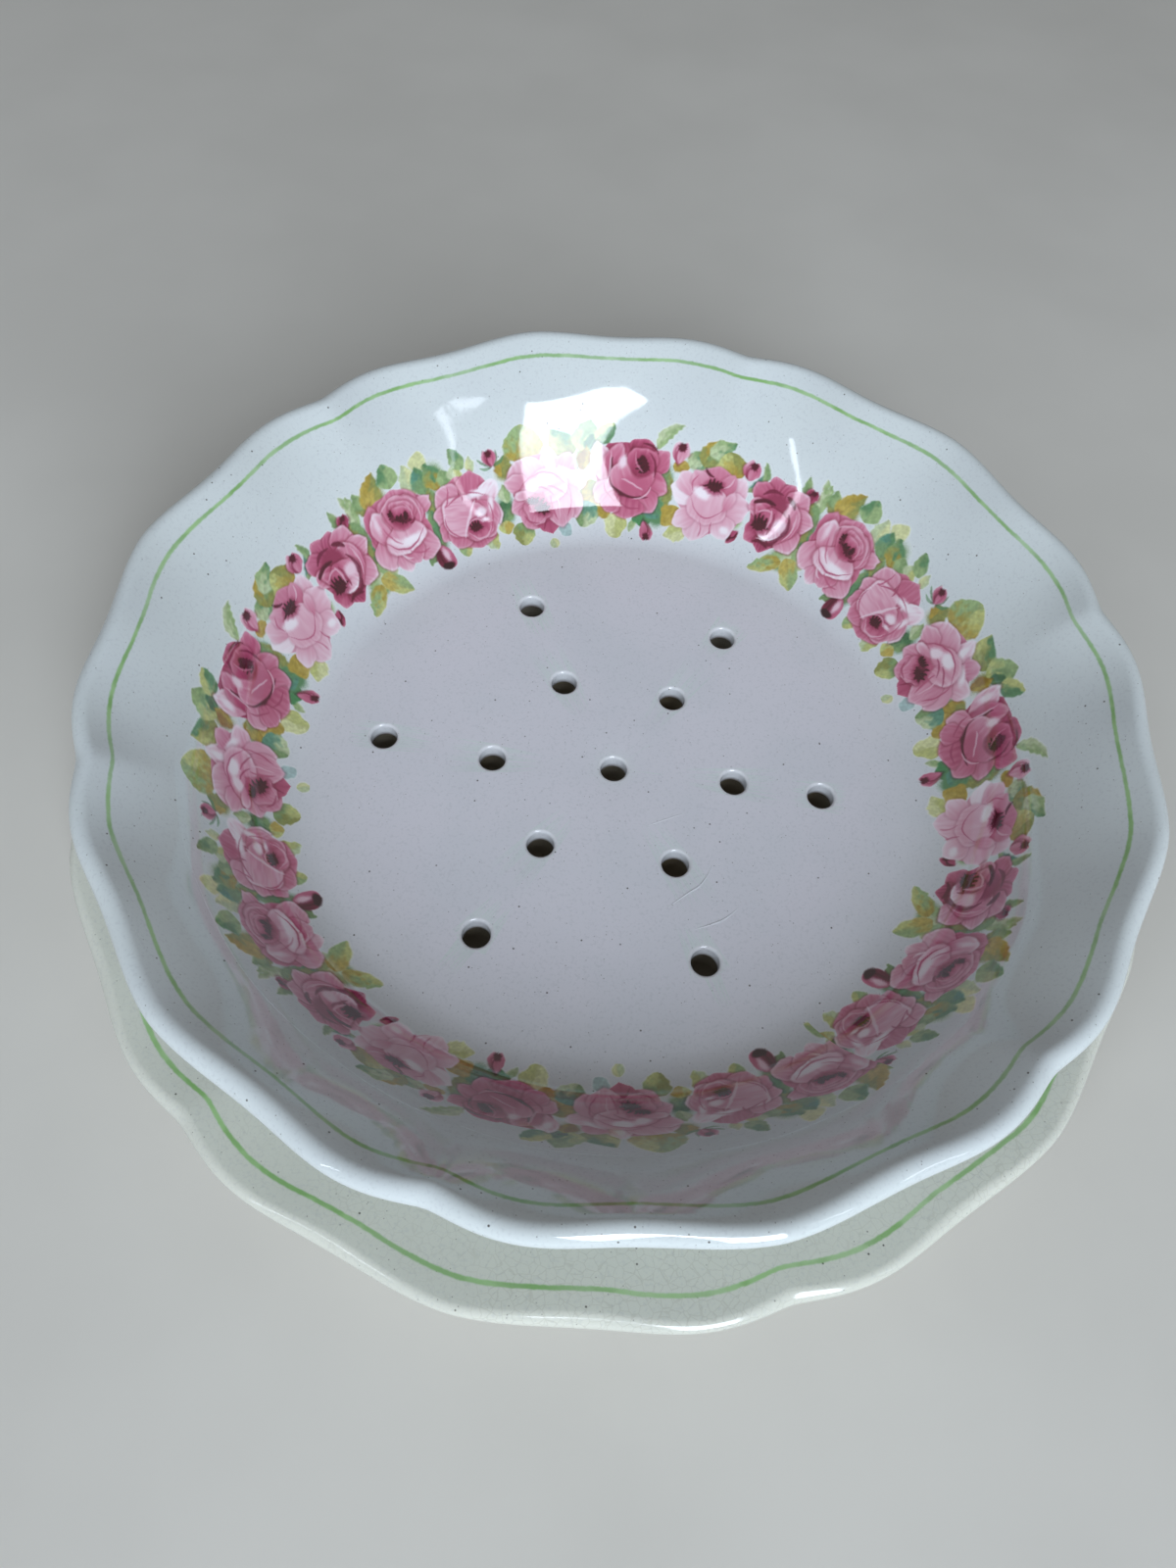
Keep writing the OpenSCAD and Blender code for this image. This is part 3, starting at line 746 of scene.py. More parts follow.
# %% Places of the roses and of the shade behind them
LENGTH_MM = 137.8
ROSE_SCALE = 0.91
SHADE_SOFT = 2.6
ROSE_PLACES = (
    ("pale", 17.6, 14.2, 0.4), ("spiral", 38.2, 17.4, 1.0), ("full", 59.6, 17.2, 0.8),
    ("open", 80.4, 14.0, 0.8), ("hooded", 105.4, 14.8, 0.7), ("cup", 129.6, 18.4, 0.9),
)
SHADE_PLACES = (
    (3.2, 17.0, 2.8, 7.0, 90, "green"), (2.4, 9.0, 3.4, 4.6, 90, "green"),
    (27.4, 12.0, 1.6, 2.4, 90, "fresh"), (48.6, 15.0, 2.6, 9.0, 90, "green"),
    (45.0, 7.0, 3.6, 4.4, 0, "mid"), (70.4, 20.0, 2.4, 7.0, 90, "green"),
    (69.4, 9.6, 2.6, 4.8, 80, "green"), (92.6, 12.0, 2.6, 5.0, 90, "green"),
    (93.6, 22.4, 2.6, 2.6, 0, "olive"), (118.6, 12.0, 3.8, 5.4, 100, "olive"),
    (117.0, 24.0, 2.6, 4.0, 90, "olive"), (12.4, 26.0, 3.0, 3.6, 0, "mid"),
    (57.0, 28.4, 4.6, 2.2, 0, "olive"), (74.0, 26.6, 4.6, 3.0, 0, "mid"),
)
print("a length of", LENGTH_MM, "mm with", len(ROSE_PLACES), "roses")

# %% Leaves
LEAVES = (
    (3.0, 31.6, 1.5, 5.2, 50, "pale", "fresh", None, 1.2), (3.4, 16.0, 2.4, 6.5, 85, "mid", "olive"),
    (1.0, 10.4, 2.8, 3.6, 120, "teal", "green"), (6.6, 8.6, 3.0, 3.8, 235, "gold", "ochre"),
    (9.2, 4.0, 2.4, 4.2, 200, "lemon", "lime"), (7.4, 23.8, 1.7, 2.8, 10, "gold", "ochre"),
    (11.6, 26.8, 2.2, 3.6, 60, "mid", "teal", "pale"),
    (15.4, 29.4, 3.0, 4.8, 65, "ochre", "mid", "olive"),
    (17.8, 31.2, 2.2, 4.2, 40, "fresh", "green", "pale"),
    (21.2, 27.0, 3.8, 4.2, 110, "lime", "olive", "ochre", 0, 0.8),
    (29.4, 25.6, 1.3, 4.4, 65, "teal", "fresh", None, -0.9),
    (30.6, 28.6, 0.9, 2.8, 100, "fresh", "mid", None, -0.5), (42.9, 29.4, 1.1, 3.2, 95, "mid", "fresh"),
    (48.4, 28.4, 1.6, 4.8, 85, "pale", "fresh"), (46.8, 22.6, 2.4, 4.8, 110, "olive", "mid"),
    (47.4, 32.0, 0.8, 2.2, 100, "pale", "fresh"), (48.4, 14.6, 2.1, 4.6, 80, "olive", "green"),
    (51.5, 29.0, 1.9, 3.8, 100, "mid", "fresh", "olive"),
    (55.6, 30.8, 2.5, 5.4, 62, "ochre", "olive", "gold"),
    (61.3, 32.4, 2.6, 3.8, 85, "green", "fresh", "fresh"), (66.6, 28.8, 2.2, 4.6, 95, "pale", "lemon"),
    (70.8, 32.4, 2.2, 3.0, 70, "lemon", "lemon"), (69.8, 27.0, 2.2, 4.6, 95, "teal", "green", "mid"),
    (73.2, 27.2, 2.4, 4.4, 105, "mid", "green", "ochre"), (71.2, 20.6, 1.9, 4.0, 90, "olive", "mid"),
    (76.8, 25.4, 2.0, 3.0, 110, "fresh", "mid"), (79.8, 26.2, 1.9, 2.4, 80, "pale", "lime"),
    (80.9, 29.7, 1.9, 3.6, 112, "mid", "green", "fresh"), (84.6, 27.2, 1.2, 2.6, 95, "lemon", "pale"),
    (69.0, 13.6, 2.1, 4.6, 80, "mid", "green"), (67.0, 7.4, 2.3, 5.6, 222, "mid", "green"),
    (49.0, 9.0, 3.2, 3.2, 250, "pale", "fresh"), (44.8, 8.0, 3.0, 3.2, 230, "pale", "fresh"),
    (40.8, 3.8, 2.3, 5.4, 215, "lime", "fresh", "ochre"),
    (49.8, 4.4, 2.7, 5.4, -50, "fresh", "lime", "gold"), (76.0, 4.2, 2.0, 2.8, -100, "lime", "fresh"),
    (85.4, 4.0, 2.4, 3.4, -70, "lime", "pale"),
    (91.6, 10.4, 2.5, 4.0, 250, "mid", "green", "deep", 0, 0.7),
    (92.8, 16.4, 1.5, 3.0, 95, "pale", "fresh"), (91.2, 6.4, 2.2, 2.0, -90, "gold", "lime"),
    (93.8, 24.2, 2.3, 3.2, 75, "ochre", "olive"),
    (96.2, 3.4, 3.1, 3.6, 255, "lime", "olive", "mid", 0, 0.8),
    (105.8, -1.2, 1.5, 2.0, -80, "lemon", "pale"),
    (110.4, 3.2, 2.0, 2.4, -60, "aqua", "aqua", None, 0, 0.8),
    (100.0, 29.6, 4.8, 5.4, 88, "fresh", "lime", "ochre", 0, 0.8),
    (111.0, 29.0, 3.1, 5.0, 130, "lime", "green", "olive", 0.5),
    (117.6, 30.6, 3.1, 4.8, 68, "fresh", "mid", "lime"), (119.2, 28.6, 1.4, 3.2, 60, "deep", "green"),
    (123.0, 31.2, 2.3, 3.8, 55, "lime", "green"), (117.2, 24.0, 1.7, 3.8, 80, "brown", "ochre"),
    (119.8, 13.2, 3.8, 3.4, 0, "olive", "brown", "ochre", 0, 0.8),
    (121.6, 10.4, 2.6, 3.2, 320, "ochre", "gold"),
    (117.2, 7.4, 3.6, 4.2, 250, "pale", "mid", "teal", 0, 0.7),
    (123.4, 8.0, 1.9, 2.6, -70, "gold", "ochre"),
    (127.0, 4.0, 3.1, 4.0, -100, "lime", "lemon", None, 0, 0.8),
    (132.8, 4.8, 1.1, 2.8, 245, "pale", "fresh"), (135.6, 7.2, 2.7, 3.4, 190, "vivid", "green"),
)
print(len(LEAVES), "leaves")

# %% Buds
BUDS = (
    (6.6, 27.6, 2.3, 3.3, 85, 0.66), (27.0, 27.6, 2.3, 3.0, 80, 0.56), (45.0, 27.5, 1.7, 2.1, 80, 0.3),
    (90.3, 27.3, 1.8, 2.7, 100, 0.5, True), (27.2, 7.8, 1.5, 2.4, 225, 0.36),
    (137.0, 3.0, 2.1, 3.2, -75, 0.5),
)
CRIMSON_BUD = (
    (petal, 0.0, 0.4, 2.9, 3.6, -95, 0.5, 0.5, 0.0), (petal, -1.3, 0.0, 1.8, 3.2, -85, 0.16, 0.2, 0.0),
    (patch, 0.5, 1.2, 1.0, 2.2, 95, 0.88, 1.2), (patch, -0.6, -2.1, 1.2, 2.1, 5, 0.02, 0.7),
)
CRIMSON_PLACE = (68.6, 3.6)
print(len(BUDS) + 1, "buds")


# %% Paint a length
def strokes_at(sheet, at, x, y, strokes, scale=1.0, crisp=1.0):
    """Lays strokes round a place. Crisp says how strongly its petals stand out from each other."""
    sheet.origin, sheet.scale, sheet.crisp = (at + x, y), scale, crisp
    for brush, *numbers in strokes:
        brush(sheet, *numbers)


def paint_leaves(sheet, at):
    """Paints the shade, the leaves and the buds of a length whose left end is at a place along the band."""
    strokes_at(sheet, at, 0, 0, [(patch, *place, SHADE_SOFT) for place in SHADE_PLACES])
    strokes_at(sheet, at, 0, 0, [(leaf, *place) for place in LEAVES])
    strokes_at(sheet, at, 0, 0, [(bud, *place) for place in BUDS])
    strokes_at(sheet, at, *CRIMSON_PLACE, CRIMSON_BUD)


def paint_roses(sheet, at):
    """Paints the six roses of that length."""
    for name, x, y, crisp in ROSE_PLACES:
        strokes_at(sheet, at, x, y, ROSES[name], ROSE_SCALE, crisp)


print("a length is painted by", paint_leaves.__name__, "and then", paint_roses.__name__)

# %% [markdown]
# ## Laying the garland
# The transfer lies in the glaze, about as thick as a sheet of paper. Paint on the bowl's own mesh would
# need a million faces all over for this much detail. So each length is a thin piece of its own, turned from
# the same wall line as the bowl, and only there are the vertices a quarter of a millimetre apart. Going
# round, three whole lengths fit, and the last two are cut short where they meet, as on the real bowl.

# %% Where the lengths lie
BAND_LOW, BAND_HIGH = -2.5, 36.5
BAND_START = 4.0
PRINT_STEP = 0.25
PROUD, SUNK = 0.03, 0.3
FINE_STEPS, BACK_STEP = 400, 12
BAND_R = 94
LENGTH_TURN = degrees(LENGTH_MM / BAND_R)
LENGTHS = (
    (89, 5, 89), (173, 89, 173), (257, 173, 257), (257 + LENGTH_TURN, 257, 309.5), (365, 309.5, 365),
)
print("each whole length takes", round(LENGTH_TURN, 1), "degrees of the wall")


# %% Turn a length of the band
def band_section():
    """The closed section of the transfer: a fine front just proud of the wall, and a coarse back in the
    clay."""
    line, _, _ = inner_line(BOWL, FINE_STEPS)
    along = np.concatenate([[0], np.cumsum(np.hypot(*np.diff(line, axis=0).T))]) / MM
    up = np.arange(BAND_LOW, BAND_HIGH, PRINT_STEP) + BAND_START
    front = np.stack([np.interp(up, along, line[:, k]) for k in (0, 1)], 1)
    back = moved_out(front, SUNK * MM)[::-BACK_STEP]
    return np.concatenate([moved_out(front, -PROUD * MM), back])


def lay_length(name, left, start, end):
    """One length of garland from start to end, in degrees, whose left end would lie at left."""
    turn_steps = round(radians(end - start) * BAND_R / PRINT_STEP)
    ob = turned(name, band_section(), turn_steps, start, end - start)
    points = get_points(ob.data)
    turn = np.degrees(np.arctan2(points[:, 1], points[:, 0])) % 360
    turn = np.where(turn < start - 1, turn + 360, turn)
    up = wall_distance(BOWL, points) - BAND_START
    sheet = Sheet((left - turn) * LENGTH_MM / LENGTH_TURN, up)
    for paint in (paint_leaves, paint_roses):
        for at in (-LENGTH_MM, 0, LENGTH_MM):
            paint(sheet, at)
    print_ink = ob.data.color_attributes.new("print_ink", "FLOAT_COLOR", "POINT")
    inks = np.concatenate([to_linear(sheet.rgb), sheet.cover[:, None]], 1)
    print_ink.data.foreach_set("color", inks.ravel())
    keep_wall_mm(ob.data, up + BAND_START)
    set_points(ob.data, scalloped(points, BOWL))
    shade_smooth(ob)
    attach(ob, "bowl")
    return ob


garland = [lay_length("garland_length_%d" % (k + 1), *span) for k, span in enumerate(LENGTHS)]
print("faces in the lengths:", [len(ob.data.polygons) for ob in garland])

# %% [markdown]
# ## Hairs in the glaze
# Three fine ridges cross the floor, where a hair or a drip lay under the glaze when it was fired. They
# catch the light on one side and throw a thread of shadow on the other. A bump map this fine would
# flicker, so each ridge is a real thread, partly sunk in the floor: a curve with a round bevel, made into a
# mesh.

# %% Lay the hairs
HAIR_R, HAIR_SUNK = 0.28, 0.08
HAIR_TIP = 0.4
HAIRS = (
    ((10.0, -16.2), (15.1, -13.4), (19.6, -11.0)),
    ((17.3, -38.4), (21.7, -34.0), (26.1, -30.6), (27.8, -25.1)),
    ((24.0, -43.5), (29.0, -41.3), (32.7, -38.9), (35.0, -35.9)),
)


def glaze_hair(name, places):
    """A thread of glaze along places on the floor, in mm, which tapers at its ends."""
    deselect_all()
    bpy.ops.curve.primitive_bezier_curve_add()
    ob = bpy.context.object
    ob.name = ob.data.name = name
    ob.data.splines.clear()
    thread = ob.data.splines.new("NURBS")
    thread.points.add(len(places) - 1)
    for k, (x, y) in enumerate(places):
        thread.points[k].co = (x * MM, y * MM, floor_z - HAIR_SUNK * MM, 1)
        thread.points[k].radius = HAIR_TIP if k in (0, len(places) - 1) else 1.0
    thread.use_endpoint_u, thread.order_u, thread.resolution_u = True, 3, 12
    ob.data.bevel_depth, ob.data.bevel_resolution, ob.data.use_fill_caps = HAIR_R * MM, 2, True
    bpy.ops.object.convert(target="MESH")
    ob = bpy.context.object
    ob.data.materials.append(earthenware)
    shade_smooth(ob)
    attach(ob, "bowl")
    return ob


hairs = [glaze_hair("glaze_hair_%d" % (k + 1), places) for k, places in enumerate(HAIRS)]
print("faces in the hairs:", [len(ob.data.polygons) for ob in hairs])

# %% [markdown]
# ## Helpers for the materials
# Each finish starts from what the real one is: white earthenware under a clear lead glaze, fired glossy.
# The glaze gives the eye a sharp mirror over a soft body colour, with a slow drift of tone, a few iron
# specks and the faint ripple of a dipped surface. All patterns read Object coordinates and are scaled from
# millimetres. One function adds a node of any kind, and the others put several nodes together.

# %% Colours and nodes
LEAD_GLAZE_IOR = 1.7
GLAZE_ROUGHNESS = 0.05
SOFT_STEP = {"interpolation_type": "SMOOTHSTEP"}


def srgb(code):
    """A colour written as sRGB hex, as the linear numbers that a shader takes."""
    return (*to_linear(hex_rgb(code)).tolist(), 1.0)


def add(tree, kind, settings=None, **inputs):
    """One node, with its settings by name, and its inputs by name or number: values, or sockets to link."""
    node = tree.nodes.new("ShaderNode" + kind)
    for key, value in (settings or {}).items():
        setattr(node, key, value)
    for key, value in inputs.items():
        socket = node.inputs[int(key[1:])] if key[1:].isdigit() else node.inputs[key.replace("_", " ")]
        if isinstance(value, bpy.types.NodeSocket):
            tree.links.new(value, socket)
        else:
            socket.default_value = value
    return node


print("glaze roughness", GLAZE_ROUGHNESS, "and IOR", LEAD_GLAZE_IOR)


# %% Parts of a material
def per(size_mm):
    """The scale of a pattern that repeats each size_mm on Object coordinates."""
    return 1 / (size_mm * MM)


def begin_material(material, roughness, ior=LEAD_GLAZE_IOR):
    """The node tree of a material, its shader with its own constants set, and the place on the piece."""
    material.use_nodes = True
    tree = material.node_tree
    shader = tree.nodes["Principled BSDF"]
    shader.inputs["Roughness"].default_value = roughness
    shader.inputs["IOR"].default_value = ior
    return tree, shader, add(tree, "TexCoord").outputs["Object"]


def drift(tree, place, size_mm, low, high, weak=0.0, strong=1.0, detail=2.0):
    """A share that drifts from weak to strong where a noise, with lumps of a size in mm, goes from low to
    high."""
    lumps = add(tree, "TexNoise", Vector=place, Scale=per(size_mm), Detail=detail).outputs["Fac"]
    return add(tree, "MapRange", SOFT_STEP, Value=lumps, _1=low, _2=high, _3=weak, _4=strong).outputs[0]


def laid(tree, below, above, *shares):
    """One colour laid over another, by the product of the shares."""
    share = shares[0]
    for other in shares[1:]:
        share = add(tree, "Math", {"operation": "MULTIPLY"}, _0=share, _1=other).outputs[0]
    return add(tree, "Mix", {"data_type": "RGBA"}, _0=share, _6=below, _7=above).outputs[2]


print("a pattern of 2 mm has the scale", round(per(2)))

# %% [markdown]
# ## The glaze
# Clear glaze over white clay is never one colour. It drifts a little warmer and cooler across a hand, holds
# specks of iron that burnt out of the clay, and with age it crazes: a net of hairlines takes up tea and
# time. A plain colour with a roughness map would miss this. So the body colour is built in layers here, in
# the order in which they lie in the pot, and the bowl, its garland and the plate all start from them.

# %% Specks and hairlines
SPECK_GAP_MM, SPECK_R_MM, SPECK_KEEP = 3.2, 0.34, 0.3
PIN_GAP_MM, PIN_R_MM, PIN_KEEP = 1.4, 0.2, 0.3
SPECK_CORE, HAIRLINE_CORE = 0.35, 0.2
NET_BEND, NET_WANDER = 0.7, 0.25


def specks(tree, place, gap_mm, radius_mm, keep):
    """Round specks, one to a cell, in the share of the cells that keep allows. The cells fill space, so the
    glaze cuts only those whose middle lies within a radius of it."""
    cells = add(tree, "TexVoronoi", Vector=place, Scale=per(gap_mm), Randomness=1.0)
    size = radius_mm / gap_mm
    dot = add(tree, "MapRange", SOFT_STEP, Value=cells.outputs["Distance"], _1=size, _2=SPECK_CORE * size)
    chance = add(tree, "SeparateColor", Color=cells.outputs["Color"]).outputs[0]
    chosen = add(tree, "Math", {"operation": "LESS_THAN"}, _0=chance, _1=keep).outputs[0]
    return add(tree, "Math", {"operation": "MULTIPLY"}, _0=dot.outputs[0], _1=chosen).outputs[0]


def hairlines(tree, place, cell_mm, width_mm):
    """A net of crazing lines. Real ones are finer than a hair, and these as coarse as they need to show."""
    bent = add(tree, "TexNoise", Vector=place, Scale=per(cell_mm * NET_BEND), Detail=2.0).outputs["Color"]
    reach = (NET_WANDER * cell_mm * MM,) * 3
    bent = add(tree, "VectorMath", {"operation": "MULTIPLY_ADD"}, _0=bent, _1=reach, _2=place).outputs[0]
    net = add(tree, "TexVoronoi", {"feature": "DISTANCE_TO_EDGE"}, Vector=bent, Scale=per(cell_mm))
    size = width_mm / cell_mm
    return add(tree, "MapRange", SOFT_STEP, Value=net.outputs["Distance"], _1=size,
               _2=HAIRLINE_CORE * size).outputs[0]


print("one iron speck to", round(SPECK_GAP_MM ** 3 / (2 * SPECK_R_MM * SPECK_KEEP)), "square mm")

# %% Layers of the glaze
FLAT_FROM_MM, FLAT_TO_MM = -20, 30
GRAIN_TONE, PIN_TONE, IRON_TONE = "#A9ADB2", "#5E5650", "#3A302A"


def glazed_body(tree, place, flat, wall, cool):
    """The colour of clear glaze over the clay: one tone on the flat and another up the wall, on the bowl a
    painted tint for the different light that floor and wall reflect, with its mottle and its iron specks."""
    along = add(tree, "Attribute", {"attribute_name": "wall_mm"}).outputs["Fac"]
    # Painted reflection tint on the bowl: the flat's tone turns into the wall's tone up the wall.
    up = add(tree, "MapRange", SOFT_STEP, Value=along, _1=FLAT_FROM_MM, _2=FLAT_TO_MM).outputs[0]
    colour = laid(tree, srgb(flat), srgb(wall), up)
    colour = laid(tree, colour, srgb(cool), drift(tree, place, 24, 0.38, 0.72, detail=3.0), 0.25)
    colour = laid(tree, colour, srgb(GRAIN_TONE), drift(tree, place, 0.75, 0.5, 0.78, detail=1.0), 0.2)
    colour = laid(tree, colour, srgb(PIN_TONE), specks(tree, place, PIN_GAP_MM, PIN_R_MM, PIN_KEEP), 0.6)
    iron = specks(tree, place, SPECK_GAP_MM, SPECK_R_MM, SPECK_KEEP)
    return laid(tree, colour, srgb(IRON_TONE), iron, 0.9)


def finish(tree, shader, place, colour):
    """Gives the shader its colour and the faint unevenness of a dipped glaze: slow waves, and a much finer
    orange peel."""
    tree.links.new(colour, shader.inputs["Base Color"])
    waves = add(tree, "TexNoise", Vector=place, Scale=per(22), Detail=2.0).outputs["Fac"]
    slow = add(tree, "Bump", Strength=0.35, Distance=0.35 * MM, Height=waves).outputs[0]
    peel = add(tree, "TexNoise", Vector=place, Scale=per(1.6), Detail=2.0).outputs["Fac"]
    fine = add(tree, "Bump", Strength=0.12, Distance=0.04 * MM, Height=peel, Normal=slow)
    tree.links.new(fine.outputs[0], shader.inputs["Normal"])


print("the wall's tone is reached", FLAT_TO_MM, "mm up from the flat")

# %% [markdown]
# ## Green bands
# The band inside each rim is drawn on a banding wheel with a loaded brush, so its width is even but its
# edge and its strength are not. We compare the distance along the wall, which each vertex carries, with the
# place of the band. A noise moves its edges, and another thins the colour here and there.

# %% Green bands
BAND_DEEP, BAND_PALE = "#7DB05F", "#9CC783"
BAND_SPREAD_MM, BAND_RAGGED_MM, BAND_SOFT_MM = 0.12, 0.08, 0.25
BOWL_BAND_R, PLATE_BAND_R = 117.4, 128.4


def band_at(p, radius_mm):
    """How far along the wall a radius lies, in mm."""
    return float(wall_distance(p, np.array([[radius_mm * MM, 0, p["top_z"]]]))[0])


def green_band(tree, place, at_mm, width_mm, colour):
    """The band's green laid over a colour."""
    off = add(tree, "Attribute", {"attribute_name": "wall_mm"}).outputs["Fac"]
    wander = drift(tree, place, 9, 0.2, 0.8, -BAND_SPREAD_MM, BAND_SPREAD_MM)
    ragged = drift(tree, place, 1.3, 0.2, 0.8, -BAND_RAGGED_MM, BAND_RAGGED_MM)
    for operation, value in (("SUBTRACT", at_mm), ("ADD", wander), ("ABSOLUTE", 0.0), ("ADD", ragged)):
        off = add(tree, "Math", {"operation": operation}, _0=off, _1=value).outputs[0]
    edge = (width_mm / 2 + BAND_SOFT_MM, width_mm / 2 - BAND_SOFT_MM)
    line_share = add(tree, "MapRange", SOFT_STEP, Value=off, _1=edge[0], _2=edge[1]).outputs[0]
    load = drift(tree, place, 17, 0.3, 0.65, 0.7, 0.95)
    green = laid(tree, srgb(BAND_DEEP), srgb(BAND_PALE), drift(tree, place, 7, 0.4, 0.62))
    return laid(tree, colour, green, line_share, load)


print("bands at", round(band_at(BOWL, BOWL_BAND_R), 1), "and", round(band_at(PLATE, PLATE_BAND_R), 1),
      "mm up the walls")

# %% [markdown]
# ## Dressing the pieces
# A potter wipes the glaze off a foot so that it doesn't stick to the kiln shelf, and that bare clay is matt
# and warm. The bowl and its garland share one white glaze. In the drain holes it runs thin, and it turns
# dark brown towards the bottom of each hole: a stain, with painted shade for the dark inside the hole. The
# plate's glaze is creamier and duller and is crazed, and its well holds a brown stain that is also painted
# shade for the place under the bowl. Painting these by hand would tie them to this mesh, so each is placed
# by height or distance.

# %% Bare feet
CLAY_TONE = "#C9B79C"
CLAY_ROUGHNESS = 0.75


def bare_foot(tree, shader, place, low_z, colour, roughness):
    """Bare clay, with its roughness, where the glaze is wiped off at the very bottom of a foot ring."""
    height = add(tree, "SeparateXYZ", Vector=place).outputs[2]
    edge = drift(tree, place, 2.5, 0.3, 0.7, 0.35 * MM, 1.0 * MM)
    height = add(tree, "Math", {"operation": "SUBTRACT"}, _0=height, _1=low_z).outputs[0]
    bare = add(tree, "Math", {"operation": "LESS_THAN"}, _0=height, _1=edge).outputs[0]
    rough = add(tree, "MapRange", SOFT_STEP, Value=bare, _3=roughness, _4=CLAY_ROUGHNESS).outputs[0]
    tree.links.new(rough, shader.inputs["Roughness"])
    return laid(tree, colour, srgb(CLAY_TONE), bare)


print("bare clay has the roughness", CLAY_ROUGHNESS)

# %% The bowl's glaze
# The bowl's flat and wall tones carry a painted reflection tint: pinkish on the floor, greenish up the
# wall.
BOWL_TONES_WITH_REFLECTION_TINT = ("#DFDDE4", "#D8DFDF", "#CBD1D6")
tree, shader, place = begin_material(earthenware, GLAZE_ROUGHNESS)
colour = glazed_body(tree, place, *BOWL_TONES_WITH_REFLECTION_TINT)
colour = green_band(tree, place, band_at(BOWL, BOWL_BAND_R), 0.95, colour)
colour = bare_foot(tree, shader, place, well_z, colour, GLAZE_ROUGHNESS)
finish(tree, shader, place, colour)
print(earthenware.name, "has", len(tree.nodes), "nodes")

# %% The garland under the glaze
fired_print = bpy.data.materials.new("rose_transfer_under_glaze")
tree, shader, place = begin_material(fired_print, GLAZE_ROUGHNESS)
colour = glazed_body(tree, place, *BOWL_TONES_WITH_REFLECTION_TINT)
ink_node = add(tree, "Attribute", {"attribute_name": "print_ink"})
finish(tree, shader, place, laid(tree, colour, ink_node.outputs["Color"], ink_node.outputs["Alpha"]))
for ob in garland:
    ob.data.materials.append(fired_print)
print(fired_print.name, "is on", len(garland), "lengths")

# %% The glaze in the drain holes
HOLE_TONE, HOLE_COOL, HOLE_STAIN_AND_SHADE = "#DCDDE0", "#C9CCD0", "#4E3826"
tree, shader, place = begin_material(pierced_edge, 0.16)
colour = glazed_body(tree, place, HOLE_TONE, HOLE_TONE, HOLE_COOL)
# Painted shade with a brown stain: the glaze darkens towards the bottom of each hole, by height.
height = add(tree, "SeparateXYZ", Vector=place).outputs[2]
stain_and_shade_top, stain_and_shade_full = floor_z - 2.8 * MM, under_z + 0.4 * MM
deep = add(tree, "MapRange", SOFT_STEP, Value=height, _1=stain_and_shade_top, _2=stain_and_shade_full).outputs[0]
patchy = drift(tree, place, 9, 0.25, 0.5, weak=0.5, detail=3.0)
finish(tree, shader, place, laid(tree, colour, srgb(HOLE_STAIN_AND_SHADE), deep, patchy, 0.9))
print("the holes are stained from", round((floor_z - stain_and_shade_top) / MM, 1), "mm down")

# %% The plate's glaze
PLATE_ROUGHNESS = 0.11
WELL_STAIN_AND_SHADE, CRAZE_STAIN = "#A4875C", "#8E8670"
WELL_DARK_FROM_MM, WELL_DARK_FULL_MM = 4, -30
aged_cream = bpy.data.materials.new("crazed_cream_glaze")
plate.data.materials.append(aged_cream)
tree, shader, place = begin_material(aged_cream, PLATE_ROUGHNESS)
colour = glazed_body(tree, place, "#DAD9CF", "#D8D9CD", "#C9CBC3")
# A brown stain in the well, strongest towards the middle, which is also painted shade under the bowl.
along = add(tree, "Attribute", {"attribute_name": "wall_mm"}).outputs["Fac"]
well = add(tree, "MapRange", SOFT_STEP, Value=along, _1=WELL_DARK_FROM_MM, _2=WELL_DARK_FULL_MM).outputs[0]
uneven = drift(tree, place, 30, 0.25, 0.7, 0.45, 0.75, detail=3.0)
colour = laid(tree, colour, srgb(WELL_STAIN_AND_SHADE), well, uneven)
old = drift(tree, place, 40, 0.35, 0.6, weak=0.3)
colour = laid(tree, colour, srgb(CRAZE_STAIN), hairlines(tree, place, 2.1, 0.12), old, 0.17)
colour = green_band(tree, place, band_at(PLATE, PLATE_BAND_R), 1.05, colour)
colour = bare_foot(tree, shader, place, 0, colour, PLATE_ROUGHNESS)
finish(tree, shader, place, colour)
print("materials:", [m.name for m in (earthenware, fired_print, pierced_edge, aged_cream)])

# %% [markdown]
# ## Floor, lights and camera
# The pieces stand on a plain pale floor. Glaze mirrors its lamps sharply, so their shapes matter as much as
# their light. A wide lamp leaves a bright patch on the far wall of the bowl, and two narrow ones leave a
# streak on each side of it. A broad one that the glaze doesn't mirror fills the shadows, with a weak world.
# The camera, and what is mirrored in the glaze, see the world as a pale backdrop, but it lights the pieces
# weakly, so the shadows keep their depth. Farther out the floor runs into that backdrop, as a paper sweep
# does. The camera looks down from close above the near rim, and leans a little.

# %% Backdrop
BACKDROP_TONE = "#EDEBE8"
SKY_LIGHT, SKY_SEEN = 0.12, 0.5


def looked_at(tree):
    """1 for a ray from the camera, a mirror or glass, and 0 for one that only carries light."""
    ray = add(tree, "LightPath").outputs
    seen = ray["Is Camera Ray"]
    for kind in ("Is Glossy Ray", "Is Transmission Ray"):
        seen = add(tree, "Math", {"operation": "MAXIMUM"}, _0=seen, _1=ray[kind]).outputs[0]
    return seen


world = bpy.data.worlds.new("studio")
bpy.context.scene.world = world
world.use_nodes = True
tree, sky = world.node_tree, world.node_tree.nodes["Background"]
sky.inputs["Color"].default_value = srgb(BACKDROP_TONE)
strength = add(tree, "Math", {"operation": "MULTIPLY_ADD"}, _0=looked_at(tree), _1=SKY_SEEN - SKY_LIGHT,
               _2=SKY_LIGHT)
tree.links.new(strength.outputs[0], sky.inputs["Strength"])
print("the backdrop is seen at", SKY_SEEN, "and lights at", SKY_LIGHT)

